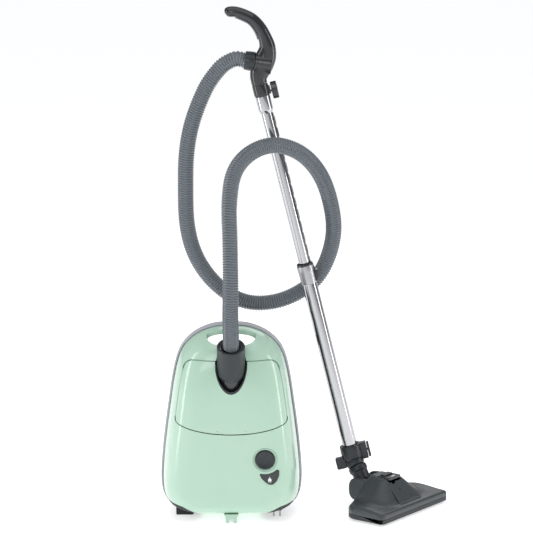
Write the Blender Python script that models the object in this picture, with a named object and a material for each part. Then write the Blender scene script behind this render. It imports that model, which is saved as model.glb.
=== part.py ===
"""Canister vacuum cleaner, parked upright on its rear end, with hose, telescopic wand and floor head."""
import math

import bmesh
import bpy
from mathutils import Matrix, Vector

# ---------------------------------------------------------------- driving dimensions (metres)
GAP = 0.0003
SHIFT = Vector((-0.1607, 0.0097, 0.0))  # moves the whole model so its footprint is centred

# body: stands on its rear end; z is its length, x its width, -y its top side, +y its underside
BODY_CENTRE_Z = 0.205
BODY_WALL = 0.003
BODY_POINTS = 38
RING_SCALES = (1.0, 0.975, 0.93, 0.85, 0.70, 0.42)
FRONT_DEPTH_REAR_END = 0.112
FRONT_DEPTH_FRONT_END = 0.096
BACK_DEPTH = 0.084
BELT_PROUD = 0.004
BELT_FRONT_Y = -0.012
BELT_BACK_Y = 0.013
BODY_OUTLINE = (
    (0.0, 0.4300), (0.034, 0.4282), (0.066, 0.4175), (0.091, 0.4005), (0.1085, 0.379),
    (0.119, 0.352), (0.1275, 0.312), (0.1345, 0.264), (0.1415, 0.213), (0.1480, 0.157),
    (0.1520, 0.105), (0.1520, 0.074), (0.1475, 0.048), (0.134, 0.0265), (0.110, 0.0140),
    (0.080, 0.0082), (0.042, 0.0083),
)

# carrying-handle hole at the front end
HOLE_HALF_X = 0.054
HOLE_SLOPE = 0.231  # the opening falls this much per metre towards the underside
HOLE_ZERO_Y = -0.100
HOLE_LOW_Z = 0.4028
HOLE_HIGH_Z = 0.4310
HOLE_SCOOP_Y = -0.035
HOLE_SCOOP_Z = 0.450
HOLE_WALL = 0.003

# lid
LID_GAP = 0.0022
LID_SIDE_GAP = 0.0007
LID_SIDE_LOW_Z = 0.240
LID_SIDE_HIGH_Z = 0.345
LID_OUTLINE = (
    (0.0, 0.2066), (0.046, 0.2094), (0.084, 0.2165), (0.108, 0.2235), (0.119, 0.2280),
    (0.1225, 0.2370), (0.1185, 0.272), (0.112, 0.315), (0.104, 0.3480), (0.096, 0.3610),
    (0.082, 0.3665), (0.040, 0.3665),
)
HINGE_Y = -0.0945
HINGE_Z = 0.1762
HINGE_PIN_R = 0.0025
HINGE_BORE_R = 0.0029
HINGE_ARM_X = 0.031
HINGE_LUG_X = 0.0425
ARM_IN_R = 0.0345
ARM_OUT_R = 0.0415

# hose inlet, measured along its own axis from the rim of the cuff
INLET_AXIS = Vector((0.0, -0.407, 0.9134)).normalized()
CUFF_RIM = Vector((0.0, -0.1147, 0.4082))
CUFF_R = 0.0308
CUFF_NECK_R = 0.0275
CUFF_BELL_LENGTH = 0.080
CUFF_LENGTH = 0.124
SOCKET_R = 0.0326
SOCKET_WALL = 0.0026
SOCKET_END = 0.142
HOSE_R = 0.0180

# controls
BUTTON_X = 0.0745
BUTTON_Z = 0.1490
BUTTON_R = 0.0208
BUTTON_WELL_R = 0.0270
PEDAL_OUTLINE = (
    (0.0625, 0.1175), (0.0720, 0.1160), (0.0830, 0.1168), (0.0930, 0.1205), (0.1010, 0.1265),
    (0.1055, 0.1245), (0.1050, 0.1130), (0.1000, 0.1010), (0.0925, 0.0935), (0.0850, 0.0925),
    (0.0765, 0.0975), (0.0660, 0.1085),
)

# wand
WAND_ROOT = Vector((0.2728, 0.075, 0.10))
WAND_DIR = Vector((-0.239, 0.0, 0.971)).normalized()
OUTER_R = 0.0169
OUTER_BORE_R = 0.0159
OUTER_START = 0.0180
OUTER_END = 0.4600
INNER_R = 0.0125
INNER_BORE_R = 0.0113
INNER_START = 0.4000
INNER_END = 0.8770
RAIL_TOP_R = 0.0150
RAIL_HALF_Y = 0.0042
RAIL_TEETH = 15

# floor head
HEAD_FWD = Vector((0.8, -0.6, 0.0))
HEAD_SIDE = Vector((0.6, 0.8, 0.0))
HEAD_CENTRE = Vector((0.366, 0.003, 0.0))
HEAD_HALF_WIDTH = 0.127
HEAD_FRONT = 0.055
HEAD_REAR = -0.060
HEAD_SPLIT_Z = 0.0150
HOOD_EDGE_Z = 0.0230
HOOD_FRONT_Z = 0.0290
HOOD_END_Z = 0.0340
HOOD_TOP_Z = 0.0780
PEDAL_Z = 0.0760
PIVOT = Vector((0.300, 0.050, 0.046))
NECK_DIR = (WAND_ROOT - PIVOT).normalized()

# inside parts and small press buttons
MOTOR_AXIS = Vector((-0.055, 0.012, 0.0))
REEL_CENTRE = Vector((0.068, 0.005, 0.086))
STEM_R = 0.0025
STEM_HOLE_R = 0.0029
LOCK_ALONG = 0.8600
LOCK_FACE = 0.0224
LOCK_POD_TOP = 0.0206
LOCK_THICK = 0.0140
LATCH_ALONG = 0.0150
LATCH_FACE = 0.0363
LATCH_POD_TOP = 0.0350
ELBOW_TOP = 0.0340

UP = Vector((0.0, 0.0, 1.0))
X_AXIS = Vector((1.0, 0.0, 0.0))
Y_AXIS = Vector((0.0, 1.0, 0.0))


# ---------------------------------------------------------------- materials
def material(name, colour, roughness, metallic=0.0):
    mat = bpy.data.materials.get(name) or bpy.data.materials.new(name)
    mat.use_nodes = True
    shader = mat.node_tree.nodes["Principled BSDF"]
    shader.inputs["Base Color"].default_value = (*colour, 1.0)
    shader.inputs["Roughness"].default_value = roughness
    shader.inputs["Metallic"].default_value = metallic
    return mat


MINT = material("mint_gloss", (0.54, 0.75, 0.63), 0.22)
DARK = material("dark_matte", (0.055, 0.062, 0.068), 0.5)
BLACK = material("black_gloss", (0.012, 0.014, 0.016), 0.18)
BELT = material("belt_grey", (0.50, 0.50, 0.53), 0.7)
HOSE_GREY = material("hose_grey", (0.16, 0.18, 0.20), 0.4)
CHROME = material("chrome_tube", (0.75, 0.76, 0.78), 0.12, 1.0)
STEEL = material("steel_part", (0.50, 0.50, 0.52), 0.35, 1.0)
COPPER = material("copper_coil", (0.72, 0.33, 0.16), 0.4, 1.0)
RUBBER = material("rubber_black", (0.02, 0.02, 0.022), 0.75)
FELT = material("filter_white", (0.80, 0.80, 0.78), 0.9)
PAPER = material("bag_fleece", (0.72, 0.70, 0.62), 0.95)
CARD = material("bag_card", (0.55, 0.42, 0.27), 0.85)
PRONG = material("prong_nickel", (0.66, 0.66, 0.68), 0.25, 1.0)


# ---------------------------------------------------------------- mesh helpers
def new_object(name, verts, faces, mat, smooth=True):
    mesh = bpy.data.meshes.new(name)
    mesh.from_pydata([tuple(v) for v in verts], [], faces)
    mesh.materials.append(mat)
    bm = bmesh.new()
    bm.from_mesh(mesh)
    bmesh.ops.recalc_face_normals(bm, faces=bm.faces)
    bm.to_mesh(mesh)
    bm.free()
    if smooth:
        mesh.shade_smooth()
        mesh.set_sharp_from_angle(angle=math.radians(35))
    obj = bpy.data.objects.new(name, mesh)
    bpy.context.collection.objects.link(obj)
    return obj


def loft(name, rings, mat, closed=False, smooth=True):
    """Skin a list of equal rings; caps both ends, or closes the loop."""
    count = len(rings[0])
    verts = [p for ring in rings for p in ring]
    faces = []
    steps = len(rings) if closed else len(rings) - 1
    for i in range(steps):
        a = i * count
        b = ((i + 1) % len(rings)) * count
        for j in range(count):
            k = (j + 1) % count
            faces.append((a + j, a + k, b + k, b + j))
    if not closed:
        faces.append(tuple(range(count))[::-1])
        faces.append(tuple(range(len(verts) - count, len(verts))))
    return new_object(name, verts, faces, mat, smooth)


def side_vector(axis):
    hint = Y_AXIS if abs(axis.dot(Y_AXIS)) < 0.9 else X_AXIS
    return hint.cross(axis).normalized()


def lathe(name, origin, axis, profile, mat, segments=18, ring=False):
    """Turn a (radius, height) profile about an axis; ring=True closes the profile on itself."""
    axis = axis.normalized()
    u = side_vector(axis)
    v = axis.cross(u)
    rings = []
    for radius, height in profile:
        centre = origin + axis * height
        angles = [2 * math.pi * k / segments for k in range(segments)]
        rings.append([centre + (u * math.cos(a) + v * math.sin(a)) * radius for a in angles])
    return loft(name, rings, mat, closed=ring)


def prism(name, outline, origin, u, v, w, low, high, mat, smooth=False):
    """Extrude a closed (u, v) outline along w from low to high."""
    rings = []
    for h in (low, high):
        rings.append([origin + u * a + v * b + w * h for a, b in outline])
    return loft(name, rings, mat, smooth=smooth)


def block(name, centre, u, v, w, size, mat, round_u=0.0):
    """Box with optional corner cuts in its u-v face."""
    a, b, c = size[0] / 2, size[1] / 2, size[2] / 2
    r = round_u
    if r <= 0.0:
        outline = [(-a, -b), (a, -b), (a, b), (-a, b)]
    else:
        outline = []
        for sx, sy, start in ((1, 1, 0), (-1, 1, 90), (-1, -1, 180), (1, -1, 270)):
            for k in range(4):
                t = math.radians(start + 30 * k)
                outline.append((sx * (a - r) + r * math.cos(t), sy * (b - r) + r * math.sin(t)))
    return prism(name, outline, centre, u, v, w, -c, c, mat)


def boolean(target, tools, operation):
    """Apply one exact boolean per tool and delete the tools."""
    for tool in tools:
        mod = target.modifiers.new("cut", "BOOLEAN")
        mod.operation = operation
        mod.solver = "EXACT"
        mod.object = tool
        bpy.context.view_layer.update()
        graph = bpy.context.evaluated_depsgraph_get()
        mesh = bpy.data.meshes.new_from_object(target.evaluated_get(graph))
        target.modifiers.clear()
        mesh.name = target.name
        keep = target.data.materials[0]
        target.data = mesh
        mesh.materials.clear()
        mesh.materials.append(keep)
        mesh.polygons.foreach_set("material_index", [0] * len(mesh.polygons))
        bpy.data.objects.remove(tool)
    return target


def tidy(obj):
    """Weld slivers left by the cuts and merge flat faces where the solid stays closed."""
    bm = bmesh.new()
    bm.from_mesh(obj.data)
    bmesh.ops.remove_doubles(bm, verts=bm.verts, dist=0.000004)
    bmesh.ops.dissolve_degenerate(bm, edges=bm.edges, dist=0.000004)
    loose = [edge for edge in bm.edges if not edge.link_faces]
    bmesh.ops.delete(bm, geom=loose, context="EDGES")
    bmesh.ops.recalc_face_normals(bm, faces=bm.faces)
    merged = bm.copy()
    bmesh.ops.dissolve_limit(merged, angle_limit=math.radians(0.2), verts=merged.verts, edges=merged.edges)
    bmesh.ops.recalc_face_normals(merged, faces=merged.faces)
    closed = all(len(edge.link_faces) == 2 for edge in merged.edges)
    (merged if closed else bm).to_mesh(obj.data)
    bm.free()
    merged.free()
    obj.data.shade_smooth()
    obj.data.set_sharp_from_angle(angle=math.radians(35))


def place_origin(obj, point):
    """Put the object's origin on its joint axis without moving the solid."""
    obj.data.transform(Matrix.Translation(-point))
    obj.location = point


def cut(target, *tools):
    return boolean(target, tools, "DIFFERENCE")


def join(target, *tools):
    return boolean(target, tools, "UNION")


def common(target, *tools):
    return boolean(target, tools, "INTERSECT")


def curve_points(points, count, closed):
    """Catmull-Rom through the points, resampled to even arc length."""
    pts = [Vector(p) for p in points]
    n = len(pts)
    dense = []
    spans = n if closed else n - 1
    for i in range(spans):
        p1, p2 = pts[i], pts[(i + 1) % n]
        p0 = pts[(i - 1) % n] if closed or i > 0 else p1 * 2 - p2
        p3 = pts[(i + 2) % n] if closed or i + 2 < n else p2 * 2 - p1
        for k in range(16):
            t = k / 16
            a = p1 * 2
            b = (p2 - p0) * t
            c = (p0 * 2 - p1 * 5 + p2 * 4 - p3) * (t * t)
            d = (p1 * 3 - p0 - p2 * 3 + p3) * (t ** 3)
            dense.append((a + b + c + d) / 2)
    dense.append(dense[0].copy() if closed else pts[-1].copy())
    lengths = [0.0]
    for a, b in zip(dense, dense[1:]):
        lengths.append(lengths[-1] + (b - a).length)
    result = []
    steps = count if closed else count - 1
    j = 0
    for i in range(count):
        goal = lengths[-1] * i / steps
        while j < len(lengths) - 2 and lengths[j + 1] < goal:
            j += 1
        span = lengths[j + 1] - lengths[j]
        t = (goal - lengths[j]) / span if span > 0 else 0.0
        result.append(dense[j].lerp(dense[j + 1], min(max(t, 0.0), 1.0)))
    return result


def triangulated(obj):
    """Split the warped four-sided faces so that every face is flat."""
    bm = bmesh.new()
    bm.from_mesh(obj.data)
    bmesh.ops.triangulate(bm, faces=[f for f in bm.faces if len(f.verts) == 4])
    bm.to_mesh(obj.data)
    bm.free()
    return obj


def mirrored(half):
    """Full closed outline from the x >= 0 half, listed from the top or bottom centre."""
    left = [(-x, z) for x, z in reversed(half) if x > 0.0]
    return list(half) + left


# ---------------------------------------------------------------- body shape
def body_outline(inset):
    pts = curve_points([(x, z, 0.0) for x, z in mirrored(BODY_OUTLINE)], BODY_POINTS, True)
    out = []
    for i, p in enumerate(pts):
        tangent = (pts[(i + 1) % len(pts)] - pts[i - 1]).normalized()
        out.append((p.x + tangent.y * inset, p.y - tangent.x * inset))
    return out


def front_depth(z):
    t = min(max((z - 0.15) / 0.28, 0.0), 1.0)
    t = t * t * (3 - 2 * t)
    return FRONT_DEPTH_REAR_END + (FRONT_DEPTH_FRONT_END - FRONT_DEPTH_REAR_END) * t


def fullness(x, z):
    """Exponent of the rounding: fuller towards the rear end."""
    down = max(0.0, (BODY_CENTRE_Z - z) / math.hypot(x, z - BODY_CENTRE_Z))
    return 6.5 + 9.5 * down ** 3


def body_solid(name, inset, mat, front=True, back=True):
    """Pillow-shaped solid: concentric outlines lifted to both sides of the parting plane."""
    outline = body_outline(inset)
    n = len(outline)
    rings = []

    def ring(scale, sign):
        pts = []
        for x, z in outline:
            px, pz = x * scale, BODY_CENTRE_Z + (z - BODY_CENTRE_Z) * scale
            power = fullness(x, z)
            rise = math.sqrt(max(0.0, 1 - scale ** power))
            depth = (front_depth(pz) if sign < 0 else BACK_DEPTH) - inset
            pts.append(Vector((px, sign * depth * rise, pz)))
        return pts

    scales = RING_SCALES
    if front:
        rings += [ring(s, -1) for s in reversed(scales)]
    else:
        rings.append([Vector((x, 0.0, z)) for x, z in outline])
    if back:
        rings += [ring(s, 1) for s in scales[1:]]
    verts = [p for r in rings for p in r]
    faces = []
    for i in range(len(rings) - 1):
        for j in range(n):
            k = (j + 1) % n
            faces.append((i * n + j, i * n + k, (i + 1) * n + k, (i + 1) * n + j))
    for start, side in ((0, -1), ((len(rings) - 1) * n, 1)):
        flat = (side < 0 and not front) or (side > 0 and not back)
        if flat:
            faces.append(tuple(range(start, start + n)))
            continue
        depth = (front_depth(BODY_CENTRE_Z) if side < 0 else BACK_DEPTH) - inset
        verts.append(Vector((0.0, side * depth, BODY_CENTRE_Z)))
        faces += [(start + j, start + (j + 1) % n, len(verts) - 1) for j in range(n)]
    return triangulated(new_object(name, verts, faces, mat))


def slab(name, low, high, mat=DARK):
    """Axis-aligned cutter box."""
    low, high = Vector(low), Vector(high)
    size = high - low
    return block(name, (low + high) / 2, X_AXIS, Y_AXIS, UP, size, mat)


def lens(top, low, half_x, count=16):
    """Lens-shaped hole outline in x-z."""
    mid = low + (top - low) * 0.42
    pts = []
    for k in range(count):
        a = 2 * math.pi * k / count
        c, s = math.cos(a), math.sin(a)
        x = half_x * math.copysign(abs(c) ** 0.9, c)
        rise = (top - mid) if s > 0 else (mid - low)
        pts.append((x, mid + rise * math.copysign(abs(s) ** 0.8, s)))
    return pts


def handle_hole(name, grow, back=0.0):
    """Finger opening that falls towards the underside, with a scoop in front of the handle bar."""
    rings = []
    bar = HOLE_SCOOP_Y + grow
    for y, scoop in ((-0.12, True), (bar - 0.001, True), (bar, False), (back, False)):
        drop = HOLE_SLOPE * (y - HOLE_ZERO_Y)
        high = HOLE_SCOOP_Z if scoop else HOLE_HIGH_Z - drop
        pts = lens(high + grow, HOLE_LOW_Z - drop - grow, HOLE_HALF_X + grow)
        rings.append([Vector((x, y, z)) for x, z in pts])
    return triangulated(loft(name, rings, DARK))


def inlet_cylinder(name, radius, near, far):
    return lathe(name, CUFF_RIM, -INLET_AXIS, [(radius, near), (radius, far)], DARK, 24)


def lid_prism(name, grow, side_grow=None):
    """Cutter in the shape of the lid, grown at its ends and, if stated, less along its sides."""
    pts = curve_points([(x, z, 0.0) for x, z in mirrored(LID_OUTLINE)], 44, True)
    outline = []
    for i, p in enumerate(pts):
        tangent = (pts[(i + 1) % len(pts)] - pts[i - 1]).normalized()
        on_side = side_grow is not None and LID_SIDE_LOW_Z < p.y < LID_SIDE_HIGH_Z
        reach = side_grow if on_side else grow
        outline.append((p.x + tangent.y * reach, p.y - tangent.x * reach))
    return prism(name, outline, Vector(), X_AXIS, UP, Y_AXIS, -0.2, -0.008, DARK)


def corner_cutter(name, side, grow):
    """Wedge that holds one rear corner of the top cover."""
    pts = [(0.0670 - grow, -0.02), (0.0670 - grow, 0.0110 + grow), (0.0900, 0.0265 + grow), (0.1080, 0.0375 + grow),
           (0.1310, 0.0435 + grow), (0.17, 0.0500 + grow), (0.17, -0.02)]
    outline = [(side * x, z) for x, z in pts]
    return prism(name, outline, Vector(), X_AXIS, UP, Y_AXIS, -0.2, 0.01, DARK)


# ---------------------------------------------------------------- body parts
def cover_shell(name):
    shell = body_solid(name, GAP, MINT, back=False)
    cavity = body_solid("cavity", BODY_WALL, MINT)
    cut(cavity, handle_hole("tunnel", HOLE_WALL, 0.2))
    cut(shell, cavity)
    trim = slab("trim", (-0.3, -GAP, -0.1), (0.3, 0.1, 0.6))
    return cut(shell, trim)


def top_cover():
    cover = cover_shell("top_cover")
    cut(cover, lid_prism("lid_hole", LID_GAP, LID_SIDE_GAP), handle_hole("finger_hole", 0.0, 0.2),
        inlet_cylinder("inlet_cut", SOCKET_R + 0.0010, -0.2, 0.11),
        corner_cutter("left_cut", -1, GAP), corner_cutter("right_cut", 1, GAP))
    for side in (-1, 1):
        join(cover, hinge_lug(side))
    cut(cover, lathe("button_hole", Vector((BUTTON_X, 0.0, BUTTON_Z)), -Y_AXIS,
                     [(BUTTON_WELL_R, 0.0), (BUTTON_WELL_R, 0.2)], MINT, 24),
        prism("pedal_hole", grown(PEDAL_OUTLINE, 0.0006), Vector(), X_AXIS, UP, Y_AXIS,
              -0.2, -0.01, MINT))
    join(cover, parking_clip())
    return cover


def hinge_lug(side):
    """Plate under the cover that carries one end of the lid's hinge pin."""
    outline = [(-0.0165, -0.012), (0.0005, -0.008), (0.0080, -0.004), (0.0080, 0.004),
               (0.0005, 0.008), (-0.0165, 0.012)]
    origin = Vector((side * HINGE_LUG_X, HINGE_Y, HINGE_Z))
    lug = prism("lug", outline, origin, Y_AXIS, UP, X_AXIS, -0.002, 0.002, MINT)
    bore = lathe("bore", origin - X_AXIS * 0.01, X_AXIS,
                 [(HINGE_PIN_R + GAP, 0.0), (HINGE_PIN_R + GAP, 0.02)], MINT, 14)
    return cut(lug, bore)


def parking_clip():
    """U-shaped parking slot for the floor head, below the rear edge."""
    outline = [(-0.0123, 0.0), (-0.0048, 0.0), (-0.0048, 0.0100), (0.0048, 0.0100), (0.0048, 0.0),
               (0.0123, 0.0), (0.0123, 0.0120), (0.0165, 0.0200), (-0.0165, 0.0200), (-0.0123, 0.0120)]
    return prism("clip", outline, Vector(), X_AXIS, UP, Y_AXIS, -0.097, -0.040, MINT)


def grown(outline, grow):
    """Offset a closed outline outwards."""
    area = sum(a[0] * b[1] - b[0] * a[1] for a, b in zip(outline, outline[1:] + outline[:1]))
    sign = 1 if area > 0 else -1
    out = []
    n = len(outline)
    for i in range(n):
        a, b, c = outline[i - 1], outline[i], outline[(i + 1) % n]
        t = (Vector((c[0], c[1])) - Vector((a[0], a[1]))).normalized() * sign
        out.append((b[0] + t.y * grow, b[1] - t.x * grow))
    return out


def hinge_arm(side):
    """Goose-neck arm that reaches round the cover's edge to the hidden pin."""
    pts = []
    for k in range(7):
        a = math.radians(24 - 19.5 * k)
        pts.append((-ARM_OUT_R * math.sin(a), ARM_OUT_R * math.cos(a)))
    pts += [(0.036, -0.006), (0.004, -0.006), (-0.0045, -0.004), (-0.0045, 0.004), (0.004, 0.005),
            (0.0330, 0.005)]
    for k in range(5, -1, -1):
        a = math.radians(24 - 19.5 * k)
        pts.append((-ARM_IN_R * math.sin(a), ARM_IN_R * math.cos(a)))
    origin = Vector((side * HINGE_ARM_X, HINGE_Y, HINGE_Z))
    arm = prism("arm", pts, origin, Y_AXIS, UP, X_AXIS, -0.0025, 0.0025, MINT)
    bore = lathe("bore", origin - X_AXIS * 0.01, X_AXIS,
                 [(HINGE_BORE_R, 0.0), (HINGE_BORE_R, 0.02)], MINT, 14)
    return cut(arm, bore)


def lid():
    part = cover_shell("lid")
    common(part, lid_prism("lid_shape", 0.0))
    cut(part, inlet_cylinder("socket_cut", SOCKET_R + SOCKET_WALL + GAP, -0.2, 0.16))
    for side in (-1, 1):
        join(part, hinge_arm(side))
    place_origin(part, Vector((0.0, HINGE_Y, HINGE_Z)))
    return part


def inlet_socket():
    """Dark bowl in the lid that the hose cuff plugs into, with the air passage at its floor."""
    profile = [(SOCKET_R, 0.0), (SOCKET_R, SOCKET_END - 0.006), (0.019, SOCKET_END),
               (0.019, SOCKET_END + 0.004), (SOCKET_R + SOCKET_WALL, SOCKET_END - 0.003),
               (SOCKET_R + SOCKET_WALL, 0.0)]
    part = lathe("inlet_socket", CUFF_RIM, -INLET_AXIS, profile, BLACK, 24, ring=True)
    common(part, body_solid("skin", 0.0006, BLACK))
    return cut(part, slab("above", (-0.2, -0.2, 0.3610), (0.2, 0.2, 0.5)))


def hose_cuff():
    """Push-in cuff of the hose: grip bell outside, neck inside the inlet."""
    profile = [(HOSE_R + 0.0004, 0.0055), (0.0225, 0.0040), (0.0260, 0.0), (CUFF_R - 0.0012, 0.0),
               (CUFF_R, 0.0015), (CUFF_R, CUFF_BELL_LENGTH - 0.012),
               (CUFF_R - 0.0035, CUFF_BELL_LENGTH), (CUFF_NECK_R, CUFF_BELL_LENGTH + 0.004),
               (CUFF_NECK_R, CUFF_LENGTH), (CUFF_NECK_R - 0.003, CUFF_LENGTH),
               (CUFF_NECK_R - 0.003, 0.060), (HOSE_R - 0.002, 0.050), (HOSE_R - 0.002, 0.0055)]
    part = lathe("hose_cuff", CUFF_RIM, -INLET_AXIS, profile, DARK, 22, ring=True)
    place_origin(part, CUFF_RIM.copy())
    return part


def hinge_pin():
    half = HINGE_LUG_X + 0.0025
    origin = Vector((-half, HINGE_Y, HINGE_Z))
    return lathe("lid_hinge_pin", origin, X_AXIS, [(HINGE_PIN_R, 0.0), (HINGE_PIN_R, 2 * half)], STEEL, 14)


def lid_latch():
    """Sliding catch on the inside of the lid's free edge."""
    part = slab("lid_latch", (0.050, -0.0760, 0.3440), (0.078, -0.0680, 0.3655), DARK)
    nose = slab("nose", (0.056, -0.0725, 0.3600), (0.072, -0.0680, 0.3662), DARK)
    return join(part, nose)


def lower_shell():
    shell = body_solid("lower_shell", 0.0, DARK, front=False)
    cavity = body_solid("cavity", BODY_WALL, DARK)
    cut(cavity, handle_hole("tunnel", HOLE_WALL, 0.2))
    cut(shell, cavity)
    cut(shell, handle_hole("finger_hole", 0.0, 0.2))
    for x, z in CASTERS:
        join(shell, lathe("boss", Vector((x, BACK_DEPTH - 0.020, z)), Y_AXIS,
                          [(0.020, 0.0), (0.020, 0.0225)], DARK, 18))
        cut(shell, lathe("pivot", Vector((x, BACK_DEPTH - 0.012, z)), Y_AXIS,
                         [(0.0053, 0.0), (0.0053, 0.03)], DARK, 14))
    join(shell, standing_foot(-0.090), standing_foot(0.090))
    return shell


def bumper_belt():
    """Soft guard round the parting line, open at the rear end."""
    outer = body_outline(-BELT_PROUD)
    inner = body_outline(-GAP)
    rings = []
    n = len(outer)
    start = next(i for i in range(n) if outer[i][1] < 0.030 and outer[i][0] > 0.10)
    stop = next(i for i in reversed(range(n)) if outer[i][1] < 0.030 and outer[i][0] < -0.10)
    path = []
    i = stop
    while i != start:
        path.append(i)
        i = (i + 1) % n
    path.append(start)
    for i in path:
        (xo, zo), (xi, zi) = outer[i], inner[i]
        y0, y1 = BELT_FRONT_Y, BELT_BACK_Y
        edge = 0.0028
        xm, zm = (xo * 0.65 + xi * 0.35), (zo * 0.65 + zi * 0.35)
        rings.append([Vector((xi, y0, zi)), Vector((xm, y0, zm)), Vector((xo, y0 + edge, zo)),
                      Vector((xo, y1 - edge, zo)), Vector((xm, y1, zm)), Vector((xi, y1, zi))])
    return loft("bumper_belt", rings, BELT)


def corner_piece(name, side):
    part = cover_shell(name)
    part.data.materials[0] = DARK
    common(part, corner_cutter("corner", side, 0.0))
    if side < 0:
        foot = prism("foot", [(-0.1232, 0.0), (-0.0860, 0.0), (-0.0760, 0.0150), (-0.1232, 0.0220)],
                     Vector(), X_AXIS, UP, Y_AXIS, -0.030, -0.010, DARK)
        join(part, foot)
    else:
        cut(part, slab("plug_slot", (0.0905, -0.0640, -0.02), (0.1170, -0.0354, 0.060)))
    return part


def standing_foot(x):
    """Foot under the rear end on the chassis side, moulded on the lower shell."""
    return slab("foot", (x - 0.012, 0.012, 0.0), (x + 0.012, 0.044, 0.0165))


# ---------------------------------------------------------------- controls
def cover_y(x, z):
    """Height of the top cover's outer surface at (x, z), by walking out along the scale."""
    best = 1.0
    outline = body_outline(0.0)
    angle = math.atan2(z - BODY_CENTRE_Z, x)
    target = math.hypot(x, z - BODY_CENTRE_Z)
    edge = min(outline, key=lambda p: abs(math.remainder(
        math.atan2(p[1] - BODY_CENTRE_Z, p[0]) - angle, 2 * math.pi)))
    best = target / math.hypot(edge[0], edge[1] - BODY_CENTRE_Z)
    rise = math.sqrt(max(0.0, 1 - best ** fullness(*edge)))
    return -front_depth(z) * rise


def power_button():
    """Round foot switch in its well."""
    y = cover_y(BUTTON_X, BUTTON_Z)
    origin = Vector((BUTTON_X, y, BUTTON_Z))
    profile = [(0.0070, -0.0220), (0.0070, -0.0120), (BUTTON_R, -0.0110), (BUTTON_R, 0.0002),
               (BUTTON_R - 0.0018, 0.0016), (BUTTON_R * 0.5, 0.0008)]
    part = lathe("power_button", origin, -Y_AXIS, profile, DARK, 20)
    place_origin(part, origin)
    return part


def button_ring():
    """Green dished ring round the switch, set in the cover."""
    y = cover_y(BUTTON_X, BUTTON_Z)
    origin = Vector((BUTTON_X, y, BUTTON_Z))
    low = BUTTON_R + 0.0005
    high = BUTTON_WELL_R - 2 * GAP
    profile = [(low, -0.0130), (low, -0.0045), (high - 0.0012, -0.0006), (high, -0.0010),
               (high, -0.0130)]
    return lathe("button_ring", origin, -Y_AXIS, profile, MINT, 24, ring=True)


def rewind_pedal():
    y = cover_y(0.086, 0.104)
    part = prism("rewind_pedal", PEDAL_OUTLINE, Vector((0.0, 0.0, 0.0)), X_AXIS, UP, Y_AXIS,
                 y - 0.0015, y + 0.0100, DARK)
    stem = slab("stem", (0.080, y + 0.0090, 0.101), (0.090, y + 0.0200, 0.109))
    join(part, stem)
    place_origin(part, Vector((0.0855, y, 0.105)))
    return part


def switch_bridge():
    """Inner bracket under the two foot controls."""
    y = cover_y(BUTTON_X, BUTTON_Z) + 0.0265
    part = slab("switch_bridge", (0.052, y, 0.090), (0.106, y + 0.003, 0.1652))
    return join(part, slab("flange", (0.052, y + 0.001, 0.1622), (0.106, y + 0.026, 0.1652)))


# ---------------------------------------------------------------- inside
def bulkhead():
    part = body_solid("bulkhead", BODY_WALL + GAP, DARK)
    common(part, slab("slice", (-0.3, -0.070, 0.1655), (0.3, 0.3, 0.1685)))
    cut(part, lathe("air", MOTOR_AXIS + UP * 0.1, UP, [(0.030, 0.0), (0.030, 0.1)], DARK, 18))
    return part


def motor_filter():
    return slab("motor_filter", (-0.100, -0.0205, 0.1688), (-0.010, 0.055, 0.1748), FELT)


def motor_housing():
    """Cup round the motor, open at the exhaust end, air eye towards the filter."""
    profile = [(0.0480, 0.0), (0.0480, 0.108), (0.0440, 0.112), (0.0160, 0.112), (0.0160, 0.1095),
               (0.0435, 0.1095), (0.0455, 0.107), (0.0455, 0.0)]
    return lathe("motor_housing", MOTOR_AXIS + UP * 0.0530, UP, profile, DARK, 20, ring=True)


def motor_stator():
    profile = [(0.0300, 0.0), (0.0300, 0.040), (0.0240, 0.044), (0.0240, -0.004)]
    return lathe("motor_stator", MOTOR_AXIS + UP * 0.0750, UP, profile, COPPER, 18, ring=True)


def motor_rotor():
    """Shaft with armature and fan wheel."""
    base = MOTOR_AXIS
    profile = [(0.0040, 0.0560), (0.0040, 0.0700), (0.0215, 0.0710), (0.0215, 0.1200),
               (0.0040, 0.1210), (0.0040, 0.1330), (0.0400, 0.1350), (0.0400, 0.1460),
               (0.0120, 0.1520), (0.0040, 0.1560)]
    part = lathe("motor_rotor", base, UP, profile, STEEL, 20)
    place_origin(part, base + UP * 0.10)
    return part


def motor_frame():
    """Spider at the open end that carries the shaft and stator."""
    base = MOTOR_AXIS + UP * 0.0500
    profile = [(0.0043, 0.0), (0.0480, 0.0), (0.0480, 0.0027), (0.0043, 0.0027)]
    part = lathe("motor_frame", base, UP, profile, DARK, 20, ring=True)
    for side in (-1, 1):
        below = base + X_AXIS * 0.028 * side - UP * 0.01
        cut(part, lathe("hole", below, UP, [(0.010, 0.0), (0.010, 0.03)], DARK, 12))
    return part


def exhaust_filter():
    return slab("exhaust_filter", (-0.092, -0.030, 0.0300), (-0.018, 0.052, 0.0497), FELT)


def cord_reel():
    """Two-flange drum of the cord rewind."""
    r = 0.056
    profile = [(0.0065, -0.030), (r, -0.030), (r, -0.028), (0.020, -0.028), (0.020, 0.028),
               (r, 0.028), (r, 0.030), (0.0065, 0.030)]
    part = lathe("cord_reel", REEL_CENTRE, Y_AXIS, profile, DARK, 22, ring=True)
    place_origin(part, REEL_CENTRE.copy())
    return part


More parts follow.
